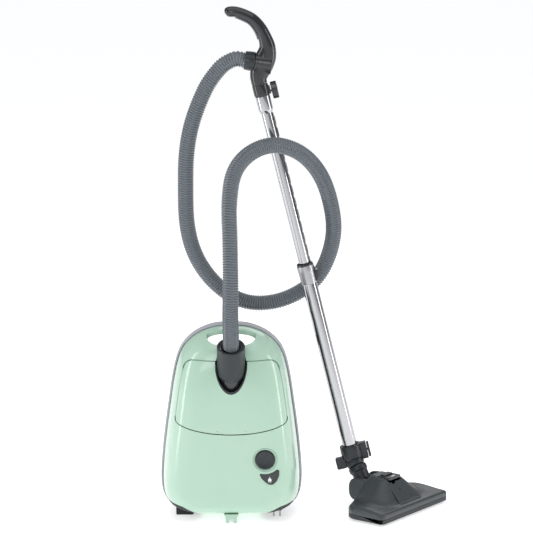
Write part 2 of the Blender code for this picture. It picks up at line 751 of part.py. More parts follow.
def wound_cord():
    """Mains lead wound on the drum, as one ribbed pack."""
    profile = [(0.0209, -0.0274)]
    turns = 5
    for k in range(turns):
        y = -0.0274 + 0.0548 * (k + 0.5) / turns
        profile += [(0.0490, y - 0.0044), (0.0505, y), (0.0490, y + 0.0044)]
    profile.append((0.0209, 0.0274))
    part = lathe("wound_cord", REEL_CENTRE, Y_AXIS, profile, RUBBER, 14, ring=True)
    place_origin(part, REEL_CENTRE.copy())
    return part


def reel_axle():
    base = REEL_CENTRE + Y_AXIS * 0.034
    profile = [(0.0140, 0.0408), (0.0140, 0.0), (0.0062, -0.0010), (0.0062, -0.066), (0.0035, -0.068)]
    part = lathe("reel_axle", base, Y_AXIS, profile, DARK, 14)
    return part


def plug_body():
    """Mains plug parked in the right rear corner, prongs down."""
    outline = [(-0.0090, 0.0), (0.0090, 0.0), (0.0098, 0.006), (0.0098, 0.020), (0.0050, 0.034),
               (-0.0050, 0.034), (-0.0098, 0.020), (-0.0098, 0.006)]
    part = prism("plug_body", outline, Vector((0.1035, -0.0475, 0.0180)), X_AXIS, UP, Y_AXIS,
                 -0.0115, 0.0115, DARK)
    place_origin(part, Vector((0.1035, -0.0475, 0.0180)))
    return part


def plug_prong(name, side):
    x = 0.1008 + side * 0.0070
    origin = Vector((x, -0.0475, 0.0020))
    part = lathe(name, origin, UP, [(0.0014, 0.0), (0.0020, 0.0010), (0.0020, 0.0157)], PRONG, 12)
    place_origin(part, origin)
    return part


def dust_bag():
    """Filled fleece bag: rounded cushion under the lid."""
    rings = []
    for k in range(9):
        t = -1 + k / 4
        z = 0.2640 + 0.0620 * math.copysign(abs(t) ** 0.85, t)
        f = math.sqrt(max(0.0, 1 - abs(t) ** 4.5)) if abs(t) < 1 else 0.12
        hx, hy = 0.026 + 0.064 * f, 0.008 + 0.034 * f
        pts = []
        for j in range(20):
            a = 2 * math.pi * j / 20
            c, s = math.cos(a), math.sin(a)
            across = hx * math.copysign(abs(c) ** 0.7, c)
            deep = 0.026 + hy * math.copysign(abs(s) ** 0.7, s)
            pts.append(Vector((across, deep, z)))
        rings.append(pts)
    return loft("dust_bag", rings, PAPER)


def bag_collar():
    """Card plate of the bag facing the inlet."""
    part = slab("bag_collar", (-0.045, -0.0210, 0.2200), (0.045, -0.0182, 0.3080), CARD)
    hole = lathe("hole", Vector((0.0, -0.1, 0.268)), Y_AXIS, [(0.019, 0.0), (0.019, 0.2)], CARD, 18)
    return cut(part, hole)


def bag_holder():
    """Frame in the chassis that grips the card plate."""
    part = slab("bag_holder", (-0.056, -0.0255, 0.1688), (0.056, -0.0213, 0.3160), DARK)
    hole = lathe("hole", Vector((0.0, -0.1, 0.268)), Y_AXIS, [(0.024, 0.0), (0.024, 0.2)], DARK, 18)
    cut(part, hole)
    for side in (-1, 1):
        rail = slab("rail", (side * 0.051 - 0.005, -0.0260, 0.2050), (side * 0.051 + 0.005, -0.0172, 0.3160))
        join(part, rail)
    return part


# ---------------------------------------------------------------- casters
CASTERS = ((-0.085, 0.335), (0.085, 0.335), (-0.105, 0.085), (0.105, 0.085))
CASTER_NAMES = ("front_left", "front_right", "rear_left", "rear_right")
TRAIL = 0.014
WHEEL_R = 0.0155
WHEEL_Y = BACK_DEPTH + 0.0235


def caster_fork(name, x, z):
    """Swivelling fork: stem, crown disc and two cheeks."""
    top = Vector((x, BACK_DEPTH + 0.0030, z))
    part = lathe(name, top, Y_AXIS, [(0.0050, -0.0130), (0.0050, 0.0), (0.0190, 0.0001),
                                     (0.0190, 0.0030)], DARK, 14)
    for side in (-1, 1):
        cheek = prism("cheek", [(0.0025, 0.006), (0.0025, -0.024), (0.0205, -TRAIL - 0.006),
                                (0.0260, -TRAIL), (0.0205, -TRAIL + 0.006)],
                      top + X_AXIS * side * 0.0095, Y_AXIS, UP, X_AXIS, -0.0015, 0.0015, DARK)
        join(part, cheek)
    axle = lathe("axle", Vector((x - 0.0090, WHEEL_Y, z - TRAIL)), X_AXIS,
                 [(0.0025, 0.0), (0.0025, 0.018)], DARK, 14)
    join(part, axle)
    place_origin(part, Vector((x, BACK_DEPTH, z)))
    return part


def caster_wheel(name, x, z):
    centre = Vector((x, WHEEL_Y, z - TRAIL))
    profile = [(0.0028, -0.0070), (WHEEL_R - 0.002, -0.0070), (WHEEL_R, -0.0050), (WHEEL_R, 0.0050),
               (WHEEL_R - 0.002, 0.0070), (0.0028, 0.0070)]
    part = lathe(name, centre, X_AXIS, profile, RUBBER, 14, ring=True)
    place_origin(part, centre)
    return part


# ---------------------------------------------------------------- hose and handle
HOSE_ROUTE = (
    (-0.001, -0.140, 0.478), (0.000, -0.146, 0.560), (-0.0015, -0.130, 0.650),
    (-0.003, -0.105, 0.725), (0.008, -0.065, 0.785), (0.045, -0.020, 0.820), (0.100, 0.012, 0.830),
    (0.160, 0.045, 0.800), (0.204, 0.080, 0.735), (0.2265, 0.105, 0.640), (0.2180, 0.122, 0.563),
    (0.186, 0.130, 0.500), (0.130, 0.134, 0.460), (0.068, 0.136, 0.445), (0.012, 0.134, 0.456),
    (-0.041, 0.128, 0.497), (-0.0800, 0.118, 0.558), (-0.0985, 0.108, 0.630), (-0.1015, 0.100, 0.720),
    (-0.0985, 0.093, 0.800), (-0.0850, 0.086, 0.870), (-0.0580, 0.080, 0.940), (-0.0340, 0.0775, 0.9780),
    (-0.0110, 0.0758, 1.0015),
)
BRANCH_CENTRE = Vector((0.0520, 0.075, 1.0045))
BRANCH_DIR = Vector((-0.990, 0.0, 0.139)).normalized()


def hose():
    end = BRANCH_CENTRE + BRANCH_DIR * (0.0225 + GAP)
    start = CUFF_RIM - INLET_AXIS * (0.0055 - GAP)
    lead_in = start + INLET_AXIS * 0.030
    lead_out = end + BRANCH_DIR * 0.020
    pts = [start, *curve_points([lead_in, *HOSE_ROUTE, lead_out], 44, False), end]
    curve = bpy.data.curves.new("hose", "CURVE")
    curve.dimensions = "3D"
    curve.bevel_depth = HOSE_R
    curve.bevel_resolution = 2
    curve.use_fill_caps = True
    spline = curve.splines.new("POLY")
    spline.points.add(len(pts) - 1)
    for point, p in zip(spline.points, pts):
        point.co = (*p, 1.0)
    curve.materials.append(HOSE_GREY)
    obj = bpy.data.objects.new("hose", curve)
    bpy.context.collection.objects.link(obj)
    return obj


def oval_rings(stations, count=14):
    """Rings of half-widths (in plane, across) square to a path in the x-z plane."""
    rings = []
    centres = [Vector((x, WAND_ROOT.y, z)) for x, z, _, _ in stations]
    for i, (x, z, a, b) in enumerate(stations):
        ahead = centres[min(i + 1, len(centres) - 1)]
        behind = centres[max(i - 1, 0)]
        tangent = (ahead - behind).normalized()
        side = Y_AXIS.cross(tangent).normalized()
        ring = []
        for k in range(count):
            t = 2 * math.pi * k / count
            ring.append(centres[i] + side * a * math.cos(t) + Y_AXIS * b * math.sin(t))
        rings.append(ring)
    return rings


GRIP = (
    (-0.0137, 1.1135, 0.0035, 0.0060), (-0.0105, 1.1145, 0.0090, 0.0110),
    (-0.0030, 1.1155, 0.0118, 0.0140), (0.0110, 1.1150, 0.0120, 0.0145),
    (0.0290, 1.1090, 0.0124, 0.0150), (0.0480, 1.0985, 0.0128, 0.0150),
    (0.0630, 1.0810, 0.0136, 0.0150), (0.0735, 1.0600, 0.0150, 0.0152),
    (0.0795, 1.0380, 0.0180, 0.0158), (0.0770, 1.0180, 0.0225, 0.0168),
    (0.0705, 1.0020, 0.0245, 0.0178), (0.0645, 0.9860, 0.0228, 0.0180),
    (0.0608, 0.9725, 0.0198, 0.0180), (0.0608, 0.9625, 0.0179, 0.0178), (0.0624, 0.9557, 0.0176, 0.0176),
)
BRANCH_ROOT_R = 0.0170


def handle_body():
    """Bent grip with the air passage that joins hose and wand."""
    part = loft("handle_body", oval_rings(GRIP), BLACK)
    stub = [(BRANCH_ROOT_R, -0.034), (BRANCH_ROOT_R + 0.001, 0.0)]
    join(part, lathe("branch", BRANCH_CENTRE, BRANCH_DIR, stub, BLACK, 14))
    cut(part, lathe("cuff_seat", BRANCH_CENTRE, BRANCH_DIR, [(0.0230, 0.0), (0.0230, 0.030)], BLACK, 20))
    cut(part, lathe("bore", wand_point(INNER_END - 0.02), WAND_DIR,
                    [(INNER_R + GAP, 0.0), (INNER_R + GAP, 0.0230)], BLACK, 14))
    return part


def handle_insert():
    """Softer strip set on the underside of the grip."""
    rings = []
    for i in range(3, 8):
        x, z, a, _ = GRIP[i]
        before, after = GRIP[i - 1], GRIP[i + 1]
        tangent = Vector((after[0] - before[0], 0.0, after[1] - before[1])).normalized()
        out = Y_AXIS.cross(tangent).normalized()
        base = Vector((x, WAND_ROOT.y, z)) + out * (a + 0.0006)
        rim = ((0.0, -0.0060), (0.0014, -0.0050), (0.0020, 0.0), (0.0014, 0.0050), (0.0, 0.0060))
        rings.append([base + out * u + Y_AXIS * v for u, v in rim])
    return loft("handle_insert", rings, DARK)


def handle_hose_cuff():
    """Swivelling hose end on the handle's branch."""
    profile = [(HOSE_R - 0.0025, 0.0003), (0.0205, 0.0003), (0.0215, 0.0015), (0.0215, 0.0125),
               (0.0205, 0.0225), (HOSE_R - 0.0025, 0.0225)]
    part = lathe("handle_hose_cuff", BRANCH_CENTRE, BRANCH_DIR, profile, DARK, 20, ring=True)
    place_origin(part, BRANCH_CENTRE.copy())
    return part


def wand_point(t):
    return WAND_ROOT + WAND_DIR * t


def handle_collar():
    """Black locking collar between handle and wand, with the pod for its release button."""
    low, high = 0.8540, 0.8795
    profile = [(INNER_R + GAP, low), (0.0172, low), (0.0178, low + 0.003), (0.0178, high),
               (INNER_R + GAP, high)]
    part = lathe("handle_collar", WAND_ROOT, WAND_DIR, profile, BLACK, 20, ring=True)
    side = Y_AXIS.cross(WAND_DIR).normalized()
    pod_foot = 0.0160
    pod_centre = wand_point(LOCK_ALONG + 0.0040) + side * (pod_foot + LOCK_POD_TOP) / 2
    pod_size = (LOCK_POD_TOP - pod_foot, 0.0150, 0.0190)
    join(part, block("pod", pod_centre, side, Y_AXIS, WAND_DIR, pod_size, BLACK))
    return cut(part, stem("stem_hole", LOCK_ALONG, STEM_HOLE_R, 0.0170, 0.030, BLACK))


def stem(name, along, radius, near, far, mat):
    """Round guide pin of a press button, square to the wand, or the hole for it."""
    side = Y_AXIS.cross(WAND_DIR).normalized()
    return lathe(name, wand_point(along), side, [(radius, near), (radius, far)], mat, 14)


def handle_lock_button():
    side = Y_AXIS.cross(WAND_DIR).normalized()
    centre = wand_point(LOCK_ALONG) + side * LOCK_FACE
    outline = []
    for k in range(16):
        a = 2 * math.pi * k / 16
        outline.append((0.0195 * math.cos(a), 0.0085 * math.sin(a)))
    part = prism("handle_lock_button", outline, centre, WAND_DIR, Y_AXIS, side, 0.0, LOCK_THICK, STEEL, True)
    join(part, stem("stem", LOCK_ALONG, STEM_R, 0.0192, LOCK_FACE + 0.001, STEEL))
    place_origin(part, centre)
    return part


def tube_sleeve():
    """Chromed end sleeve of the inner tube."""
    profile = [(INNER_R + GAP, 0.8140), (0.0136, 0.8140), (0.0164, 0.8220), (0.0164, 0.8536),
               (INNER_R + GAP, 0.8536)]
    return lathe("tube_sleeve", WAND_ROOT, WAND_DIR, profile, CHROME, 20, ring=True)


def inner_tube():
    profile = [(INNER_BORE_R, INNER_START), (INNER_R, INNER_START), (INNER_R, INNER_END),
               (INNER_BORE_R, INNER_END)]
    return lathe("inner_tube", WAND_ROOT, WAND_DIR, profile, CHROME, 18, ring=True)


def tooth_rail():
    """Notched latch rail along the inner tube."""
    side = Y_AXIS.cross(WAND_DIR).normalized()
    low, high = INNER_START + 0.004, 0.8120
    pitch = (high - low) / RAIL_TEETH
    base = INNER_R + GAP
    outline = [(base, low)]
    for k in range(RAIL_TEETH):
        a = low + pitch * k
        outline += [(RAIL_TOP_R, a + pitch * 0.02), (RAIL_TOP_R, a + pitch * 0.68),
                    (base + 0.0011, a + pitch * 0.70), (base + 0.0011, a + pitch * 0.98)]
    outline += [(base + 0.0011, high), (base, high)]
    return prism("tooth_rail", outline, WAND_ROOT, side, WAND_DIR, Y_AXIS, -RAIL_HALF_Y, RAIL_HALF_Y, STEEL)


def outer_tube():
    profile = [(OUTER_BORE_R, OUTER_START), (OUTER_R, OUTER_START), (OUTER_R, OUTER_END),
               (OUTER_BORE_R, OUTER_END)]
    part = lathe("outer_tube", WAND_ROOT, WAND_DIR, profile, CHROME, 20, ring=True)
    place_origin(part, WAND_ROOT.copy())
    return part


def tube_clamp():
    """Collar at the mouth of the outer tube with the slide button's track."""
    profile = [(OUTER_R + GAP, 0.4180), (0.0182, 0.4180), (0.0186, 0.4450), (0.0190, 0.4460),
               (0.0190, 0.4590), (0.0182, 0.4600), (OUTER_R + GAP, 0.4600)]
    part = lathe("tube_clamp", WAND_ROOT, WAND_DIR, profile, STEEL, 20, ring=True)
    return part


def tube_slider_button():
    side = Y_AXIS.cross(WAND_DIR).normalized()
    centre = wand_point(0.4350) + side * 0.0228
    size = (0.0066, 0.0150, 0.0200)
    part = block("tube_slider_button", centre, side, Y_AXIS, WAND_DIR, size, BLACK, 0.0018)
    place_origin(part, centre)
    return part


# ---------------------------------------------------------------- elbow, neck and floor head
def elbow_cuff():
    """Bent connector between wand and floor head, hollow at the wand end."""
    part = lathe("elbow_cuff", WAND_ROOT, WAND_DIR,
                 [(0.0130, -0.0100), (0.0236, 0.0050), (0.0243, 0.020), (0.0240, ELBOW_TOP)], DARK, 18)
    ball = lathe("ball", WAND_ROOT - NECK_DIR * 0.018, NECK_DIR,
                 [(0.0180, 0.0), (0.0205, 0.004), (0.0215, 0.014), (0.0190, 0.024), (0.012, 0.030)], DARK, 18)
    join(part, ball)
    cut(part, lathe("bore", wand_point(OUTER_START - GAP), WAND_DIR,
                    [(OUTER_R + GAP, 0.0), (OUTER_R + GAP, 0.06)], DARK, 18))
    cut(part, lathe("air_in", WAND_ROOT, -NECK_DIR, [(0.0130, -0.004), (0.0130, 0.03)], DARK, 14),
        lathe("air_out", WAND_ROOT + NECK_DIR * 0.010, WAND_DIR, [(0.0130, -0.004), (0.0130, 0.03)],
              DARK, 14))
    side = Y_AXIS.cross(WAND_DIR).normalized()
    horn_size = (0.022, 0.016, 0.026)
    horn = block("horn", wand_point(-0.0030) - side * 0.0290, side, Y_AXIS, WAND_DIR, horn_size, DARK)
    pod_foot = 0.0210
    pod_centre = wand_point(LATCH_ALONG) + side * (pod_foot + LATCH_POD_TOP) / 2
    pod_size = (LATCH_POD_TOP - pod_foot, 0.0200, 0.0380)
    join(part, horn, block("pod", pod_centre, side, Y_AXIS, WAND_DIR, pod_size, DARK))
    cut(part, stem("stem_hole", LATCH_ALONG, STEM_HOLE_R, 0.0310, 0.0400, DARK))
    cut(part, lathe("bore", wand_point(OUTER_START - GAP), WAND_DIR,
                    [(OUTER_R + GAP, 0.0), (OUTER_R + GAP, 0.06)], DARK, 18))
    place_origin(part, WAND_ROOT.copy())
    return part


def elbow_latch():
    """Press button that frees the wand from the elbow."""
    side = Y_AXIS.cross(WAND_DIR).normalized()
    height = 0.0050
    centre = wand_point(LATCH_ALONG) + side * (LATCH_FACE + height / 2)
    part = block("elbow_latch", centre, side, Y_AXIS, WAND_DIR, (height, 0.0170, 0.0340), DARK)
    join(part, stem("stem", LATCH_ALONG, STEM_R, 0.0326, LATCH_FACE + 0.001, DARK))
    place_origin(part, centre)
    return part


def neck():
    """Lower elbow: ring under the swivel, tube and the cross barrel on the tilt axis."""
    part = lathe("neck", WAND_ROOT, NECK_DIR,
                 [(0.0200, -0.0183), (0.0212, -0.0215), (0.0212, -0.0300), (0.0185, -0.0330),
                  (0.0180, -0.052), (0.0145, -0.062)], DARK, 18)
    barrel = lathe("barrel", PIVOT - HEAD_SIDE * 0.030, HEAD_SIDE, [(0.0185, 0.0), (0.0185, 0.060)], DARK, 20)
    join(part, barrel)
    air = lathe("air", WAND_ROOT - NECK_DIR * 0.010, -NECK_DIR, [(0.0130, 0.0), (0.0130, 0.045)], DARK, 14)
    cut(part, air)
    place_origin(part, PIVOT.copy())
    return part


def head_point(fwd, side, z):
    return HEAD_CENTRE + HEAD_FWD * fwd + HEAD_SIDE * side + UP * z


def head_outline(grow=0.0):
    """Plan view of the floor head in (forward, side)."""
    w, f, r = HEAD_HALF_WIDTH + grow, HEAD_FRONT + grow, HEAD_REAR - grow
    return [(f, -w + 0.006), (f, -w * 0.5), (f, 0.0), (f, w * 0.5), (f, w - 0.006), (f - 0.006, w), (0.0, w),
            (r + 0.030, w), (r + 0.012, w - 0.012), (r, w - 0.048), (r, w * 0.3),
            (r, -w * 0.3), (r, -w + 0.048), (r + 0.012, -w + 0.012), (r + 0.030, -w),
            (0.0, -w), (f - 0.006, -w)]


def ease(x):
    x = min(max(x, 0.0), 1.0)
    return x * x * (3 - 2 * x)


def hood_height(fwd, side):
    """Top of the hood: low along the front edge and at the ends, humped over the middle of the back."""
    rise = ease((0.048 - fwd) / 0.066)
    middle = ease((0.088 - abs(side)) / 0.050)
    return HOOD_FRONT_Z + rise * (HOOD_END_Z - HOOD_FRONT_Z + (HOOD_TOP_Z - HOOD_END_Z) * middle)


def hood_solid(name, scales):
    """Closed hood: straight rim, rounded edge, then the humped top as shrinking outlines."""
    outline = head_outline()
    rings = [[head_point(f, s, z) for f, s in outline] for z in (HEAD_SPLIT_Z + GAP, HOOD_EDGE_Z)]
    for scale in scales:
        round_over = math.sqrt(max(0.0, 1 - max(0.0, (scale - 0.90) / 0.10) ** 2))
        ring = []
        for f, s in outline:
            top = hood_height(f * scale, s * scale)
            ring.append(head_point(f * scale, s * scale, HOOD_EDGE_Z + (top - HOOD_EDGE_Z) * round_over))
        rings.append(ring)
    return loft(name, rings, DARK)


def head_rings(name, levels, mat):
    rings = []
    for z, grow in levels:
        pts = head_outline(grow)
        rings.append([head_point(f, s, z) for f, s in pts])
    return loft(name, rings, mat)


def head_block(name, fwd, side, z, size, mat=DARK, corner=0.0):
    return block(name, head_point(fwd, side, z), HEAD_FWD, HEAD_SIDE, UP, size, mat, corner)


def head_base():
    """Floor plate with the suction mouth, brush slots and wheel wells."""
    part = head_rings("head_base", ((0.0040, -0.0040), (0.0060, 0.0), (HEAD_SPLIT_Z, 0.0)), DARK)
    cut(part, head_block("mouth", 0.0, 0.0, 0.0, (0.034, 0.200, 0.06)))
    for fwd in (0.036, -0.030):
        cut(part, head_block("slot", fwd, 0.0, 0.0, (0.0086, 0.222, 0.08)))
    for side in (-1, 1):
        cut(part, head_block("well", -0.0470, side * 0.052, 0.0, (0.0250, 0.0130, 0.08)))
    return part


def head_top():
    """Upper shell of the floor head with the humped back and the tilt yoke."""
    part = triangulated(hood_solid("head_top", (0.99, 0.96, 0.90, 0.78, 0.64, 0.50, 0.36, 0.22, 0.08)))
    for side in (-1, 1):
        join(part, block("cheek", head_point(-0.0700, side * 0.0355, 0.0440), HEAD_FWD, UP, HEAD_SIDE,
                         (0.062, 0.0520, 0.0100), DARK, 0.020))
    barrel = [(0.0192, 0.0), (0.0192, 0.0606)]
    cut(part, lathe("barrel", PIVOT - HEAD_SIDE * 0.0303, HEAD_SIDE, barrel, DARK, 20))
    cut(part, head_block("inside", 0.0, 0.0, 0.0155, (0.100, 0.226, 0.0120)))
    cut(part, head_block("hollow", -0.0150, 0.0, 0.0400, (0.0600, 0.0700, 0.0400)))
    cut(part, lathe("duct", PIVOT - UP * 0.006, HEAD_FWD, [(0.0100, -0.002), (0.0100, 0.050)], DARK, 12))
    cut(part, head_block("pedal_well", -0.0180, 0.0, 0.0850, (0.0360, 0.0440, 0.0320)))
    for side in (-1, 1):
        cut(part, head_block("well", -0.0470, side * 0.052, 0.0100, (0.0250, 0.0130, 0.026)))
    return part


def head_pedal():
    """Rocker pedal that raises and lowers the brush strips."""
    part = head_block("head_pedal", -0.0180, 0.0, PEDAL_Z, (0.0340, 0.0420, 0.0060), DARK, 0.003)
    hump = head_block("hump", -0.0260, 0.0, PEDAL_Z + 0.0035, (0.0140, 0.0300, 0.0050), DARK, 0.002)
    join(part, hump)
    place_origin(part, head_point(-0.0180, 0.0, PEDAL_Z))
    return part


def brush_strip(name, fwd):
    part = head_block(name, fwd, 0.0, 0.0110, (0.0076, 0.2180, 0.0120), RUBBER)
    place_origin(part, head_point(fwd, 0.0, 0.0110))
    return part


def head_wheel(name, side):
    centre = head_point(-0.0470, side * 0.052, 0.0085)
    part = lathe(name, centre - HEAD_SIDE * 0.0055, HEAD_SIDE,
                 [(0.0020, 0.0), (0.0078, 0.0), (0.0085, 0.001), (0.0085, 0.010), (0.0078, 0.011),
                  (0.0020, 0.011)], RUBBER, 14, ring=True)
    place_origin(part, centre)
    return part


# ---------------------------------------------------------------- assembly
def build():
    for obj in list(bpy.data.objects):
        bpy.data.objects.remove(obj)
    top_cover()
    lid()
    inlet_socket()
    hose_cuff()
    hinge_pin()
    lid_latch()
    lower_shell()
    bumper_belt()
    corner_piece("corner_left", -1)
    corner_piece("corner_right", 1)
    power_button()
    button_ring()
    rewind_pedal()
    switch_bridge()
    bulkhead()
    motor_filter()
    motor_housing()
    motor_stator()
    motor_rotor()
    motor_frame()
    exhaust_filter()
    cord_reel()
    wound_cord()
    reel_axle()
    plug_body()
    plug_prong("prong_left", -1)
    plug_prong("prong_right", 1)
    dust_bag()
    bag_collar()
    bag_holder()
    for label, (x, z) in zip(CASTER_NAMES, CASTERS):
        caster_fork("fork_" + label, x, z)
        caster_wheel("wheel_" + label, x, z)
    hose()
    handle_body()
    handle_insert()
    handle_hose_cuff()
    handle_collar()
    handle_lock_button()
    tube_sleeve()
    inner_tube()
    tooth_rail()
    outer_tube()
    tube_clamp()
    tube_slider_button()
    elbow_cuff()
    elbow_latch()
    neck()
    head_base()
    head_top()
    head_pedal()
    brush_strip("brush_front", 0.036)
    brush_strip("brush_rear", -0.030)
    head_wheel("head_wheel_left", -1)
    head_wheel("head_wheel_right", 1)
    for obj in bpy.data.objects:
        if obj.name != "hose":
            tidy(obj)
        obj.location = obj.location + SHIFT


build()
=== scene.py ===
"""Looks of the parked canister vacuum cleaner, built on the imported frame."""

import math

import bmesh
import bpy
from mathutils import Matrix, Vector
from mathutils.bvhtree import BVHTree
from mathutils.interpolate import poly_3d_calc


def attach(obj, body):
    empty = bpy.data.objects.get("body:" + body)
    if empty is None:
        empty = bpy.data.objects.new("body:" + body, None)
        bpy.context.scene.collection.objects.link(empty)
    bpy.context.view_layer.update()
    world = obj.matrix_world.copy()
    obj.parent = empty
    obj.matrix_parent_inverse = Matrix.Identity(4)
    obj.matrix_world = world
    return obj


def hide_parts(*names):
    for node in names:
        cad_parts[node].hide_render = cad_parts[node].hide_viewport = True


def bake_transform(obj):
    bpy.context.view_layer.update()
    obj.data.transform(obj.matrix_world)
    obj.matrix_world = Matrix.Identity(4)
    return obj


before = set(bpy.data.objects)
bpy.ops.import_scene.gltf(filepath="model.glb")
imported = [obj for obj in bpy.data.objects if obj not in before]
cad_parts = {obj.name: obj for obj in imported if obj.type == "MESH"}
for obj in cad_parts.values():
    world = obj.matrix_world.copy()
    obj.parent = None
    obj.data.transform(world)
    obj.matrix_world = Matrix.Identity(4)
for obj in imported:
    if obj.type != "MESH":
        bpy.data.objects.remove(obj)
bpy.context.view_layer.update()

# ---------------------------------------------------------------- sizes, in metres
GAP = 0.0003
SHIFT = Vector((-0.1607, 0.0097, 0.0))  # from the canister's own frame to the row frame

# body: z is its length, x its width, -y its top side, +y its underside
BODY_CENTRE_Z = 0.205
BODY_WALL = 0.003
BODY_POINTS = 112
RING_ANGLES = (0.0, 5.0, 10.0, 16.0, 22.0, 29.0, 36.0, 43.0, 50.0, 57.0, 63.0, 69.0, 74.0, 78.0,
               81.5, 84.5, 87.0, 88.7)
FRONT_DEPTH_REAR_END = 0.112
FRONT_DEPTH_FRONT_END = 0.096
BACK_DEPTH = 0.084
BELT_PROUD = 0.004
BELT_FRONT_Y = -0.012
BELT_BACK_Y = 0.013
BODY_OUTLINE = (
    (0.0, 0.4300), (0.034, 0.4282), (0.066, 0.4175), (0.091, 0.4005), (0.1085, 0.379),
    (0.119, 0.352), (0.1275, 0.312), (0.1345, 0.264), (0.1415, 0.213), (0.1480, 0.157),
    (0.1520, 0.105), (0.1520, 0.074), (0.1475, 0.048), (0.134, 0.0265), (0.110, 0.0140),
    (0.080, 0.0082), (0.042, 0.0083),
)
HOLE_HALF_X = 0.054
HOLE_SLOPE = 0.231  # the opening falls this much per metre towards the underside
HOLE_ZERO_Y = -0.100
HOLE_LOW_Z = 0.4028
HOLE_HIGH_Z = 0.4310
HOLE_SCOOP_Y = -0.035
HOLE_SCOOP_Z = 0.450
HOLE_WALL = 0.003
LID_GAP = 0.0022
LID_SIDE_GAP = 0.0007
LID_SIDE_LOW_Z = 0.240
LID_SIDE_HIGH_Z = 0.345
# Below this height the lid-gap lip is dark rubber: painted shade along the lower lid line.
LIP_SHADE_SPLIT_Z = 0.240
LID_OUTLINE = (
    (0.0, 0.2066), (0.046, 0.2094), (0.084, 0.2165), (0.108, 0.2235), (0.119, 0.2280),
    (0.1225, 0.2370), (0.1185, 0.272), (0.112, 0.315), (0.104, 0.3480), (0.096, 0.3610),
    (0.082, 0.3665), (0.040, 0.3665),
)
HINGE_Y = -0.0945
HINGE_Z = 0.1762
HINGE_ARM_X = 0.031
ARM_IN_R = 0.0345
ARM_OUT_R = 0.0415
ARM_SINK = 0.0012  # keeps the arms under the lid's outer face

# hose inlet, measured along its own axis from the rim of the cuff
INLET_AXIS = Vector((0.0, -0.407, 0.9134)).normalized()
CUFF_RIM = Vector((0.0, -0.1147, 0.4082))
CUFF_R = 0.0308
CUFF_NECK_R = 0.0275
CUFF_BELL_LENGTH = 0.080
CUFF_LENGTH = 0.124
SOCKET_R = 0.0326
SOCKET_WALL = 0.0026
SOCKET_END = 0.142

# hose
HOSE_R = 0.0180
HOSE_VALLEY_R = 0.0152
HOSE_PITCH = 0.0056
HOSE_RINGS_PER_PITCH = 5
HOSE_SEGMENTS = 30
HOSE_ROUTE = (
    (-0.001, -0.140, 0.478), (0.000, -0.146, 0.560), (-0.0015, -0.130, 0.650),
    (-0.003, -0.105, 0.725), (0.008, -0.065, 0.785), (0.045, -0.020, 0.820), (0.100, 0.012, 0.830),
    (0.160, 0.045, 0.800), (0.204, 0.080, 0.735), (0.2265, 0.105, 0.640), (0.2180, 0.122, 0.563),
    (0.186, 0.130, 0.500), (0.130, 0.134, 0.460), (0.068, 0.136, 0.445), (0.012, 0.134, 0.456),
    (-0.041, 0.128, 0.497), (-0.0800, 0.118, 0.558), (-0.0985, 0.108, 0.630), (-0.1015, 0.100, 0.720),
    (-0.0985, 0.093, 0.800), (-0.0850, 0.086, 0.870), (-0.0580, 0.080, 0.940), (-0.0340, 0.0775, 0.9780),
    (-0.0110, 0.0758, 1.0015),
)
BRANCH_CENTRE = Vector((0.0520, 0.075, 1.0045))
BRANCH_DIR = Vector((-0.990, 0.0, 0.139)).normalized()

# controls
BUTTON_X = 0.0745
BUTTON_Z = 0.1490
BUTTON_R = 0.0208
BUTTON_WELL_R = 0.0270
PEDAL_OUTLINE = (
    (0.0625, 0.1175), (0.0720, 0.1160), (0.0830, 0.1168), (0.0930, 0.1205), (0.1010, 0.1265),
    (0.1055, 0.1245), (0.1050, 0.1130), (0.1000, 0.1010), (0.0925, 0.0935), (0.0850, 0.0925),
    (0.0765, 0.0975), (0.0660, 0.1085),
)

# wand
WAND_ROOT = Vector((0.2728, 0.075, 0.10))
WAND_DIR = Vector((-0.239, 0.0, 0.971)).normalized()
OUTER_R = 0.0169
OUTER_BORE_R = 0.0159
OUTER_START = 0.0180
OUTER_END = 0.4600
INNER_R = 0.0125
INNER_BORE_R = 0.0113
INNER_START = 0.4000
INNER_END = 0.8770
RAIL_TOP_R = 0.0150
RAIL_HALF_Y = 0.0042
RAIL_TEETH = 15
GRIP = (
    (-0.0137, 1.1135, 0.0035, 0.0060), (-0.0105, 1.1145, 0.0090, 0.0110),
    (-0.0030, 1.1155, 0.0118, 0.0140), (0.0110, 1.1150, 0.0120, 0.0145),
    (0.0290, 1.1090, 0.0124, 0.0150), (0.0480, 1.0985, 0.0128, 0.0150),
    (0.0630, 1.0810, 0.0136, 0.0150), (0.0735, 1.0600, 0.0150, 0.0152),
    (0.0795, 1.0380, 0.0180, 0.0158), (0.0770, 1.0180, 0.0225, 0.0168),
    (0.0705, 1.0020, 0.0245, 0.0178), (0.0645, 0.9860, 0.0228, 0.0180),
    (0.0608, 0.9725, 0.0198, 0.0180), (0.0608, 0.9625, 0.0179, 0.0178), (0.0624, 0.9557, 0.0176, 0.0176),
)

LOCK_ALONG = 0.8600
LOCK_FACE = 0.0224
LOCK_THICK = 0.0140
LATCH_ALONG = 0.0150
LATCH_FACE = 0.0363
ELBOW_TOP = 0.0340

# floor head
HEAD_FWD = Vector((0.8, -0.6, 0.0))
HEAD_SIDE = Vector((0.6, 0.8, 0.0))
HEAD_CENTRE = Vector((0.366, 0.003, 0.0))
HEAD_HALF_WIDTH = 0.127
HEAD_FRONT = 0.055
HEAD_REAR = -0.060
HEAD_SPLIT_Z = 0.0150
HOOD_EDGE_Z = 0.0230
HOOD_FRONT_Z = 0.0290
HOOD_END_Z = 0.0340
HOOD_TOP_Z = 0.0780
PEDAL_Z = 0.0760
PIVOT = Vector((0.300, 0.050, 0.046))
NECK_DIR = (WAND_ROOT - PIVOT).normalized()

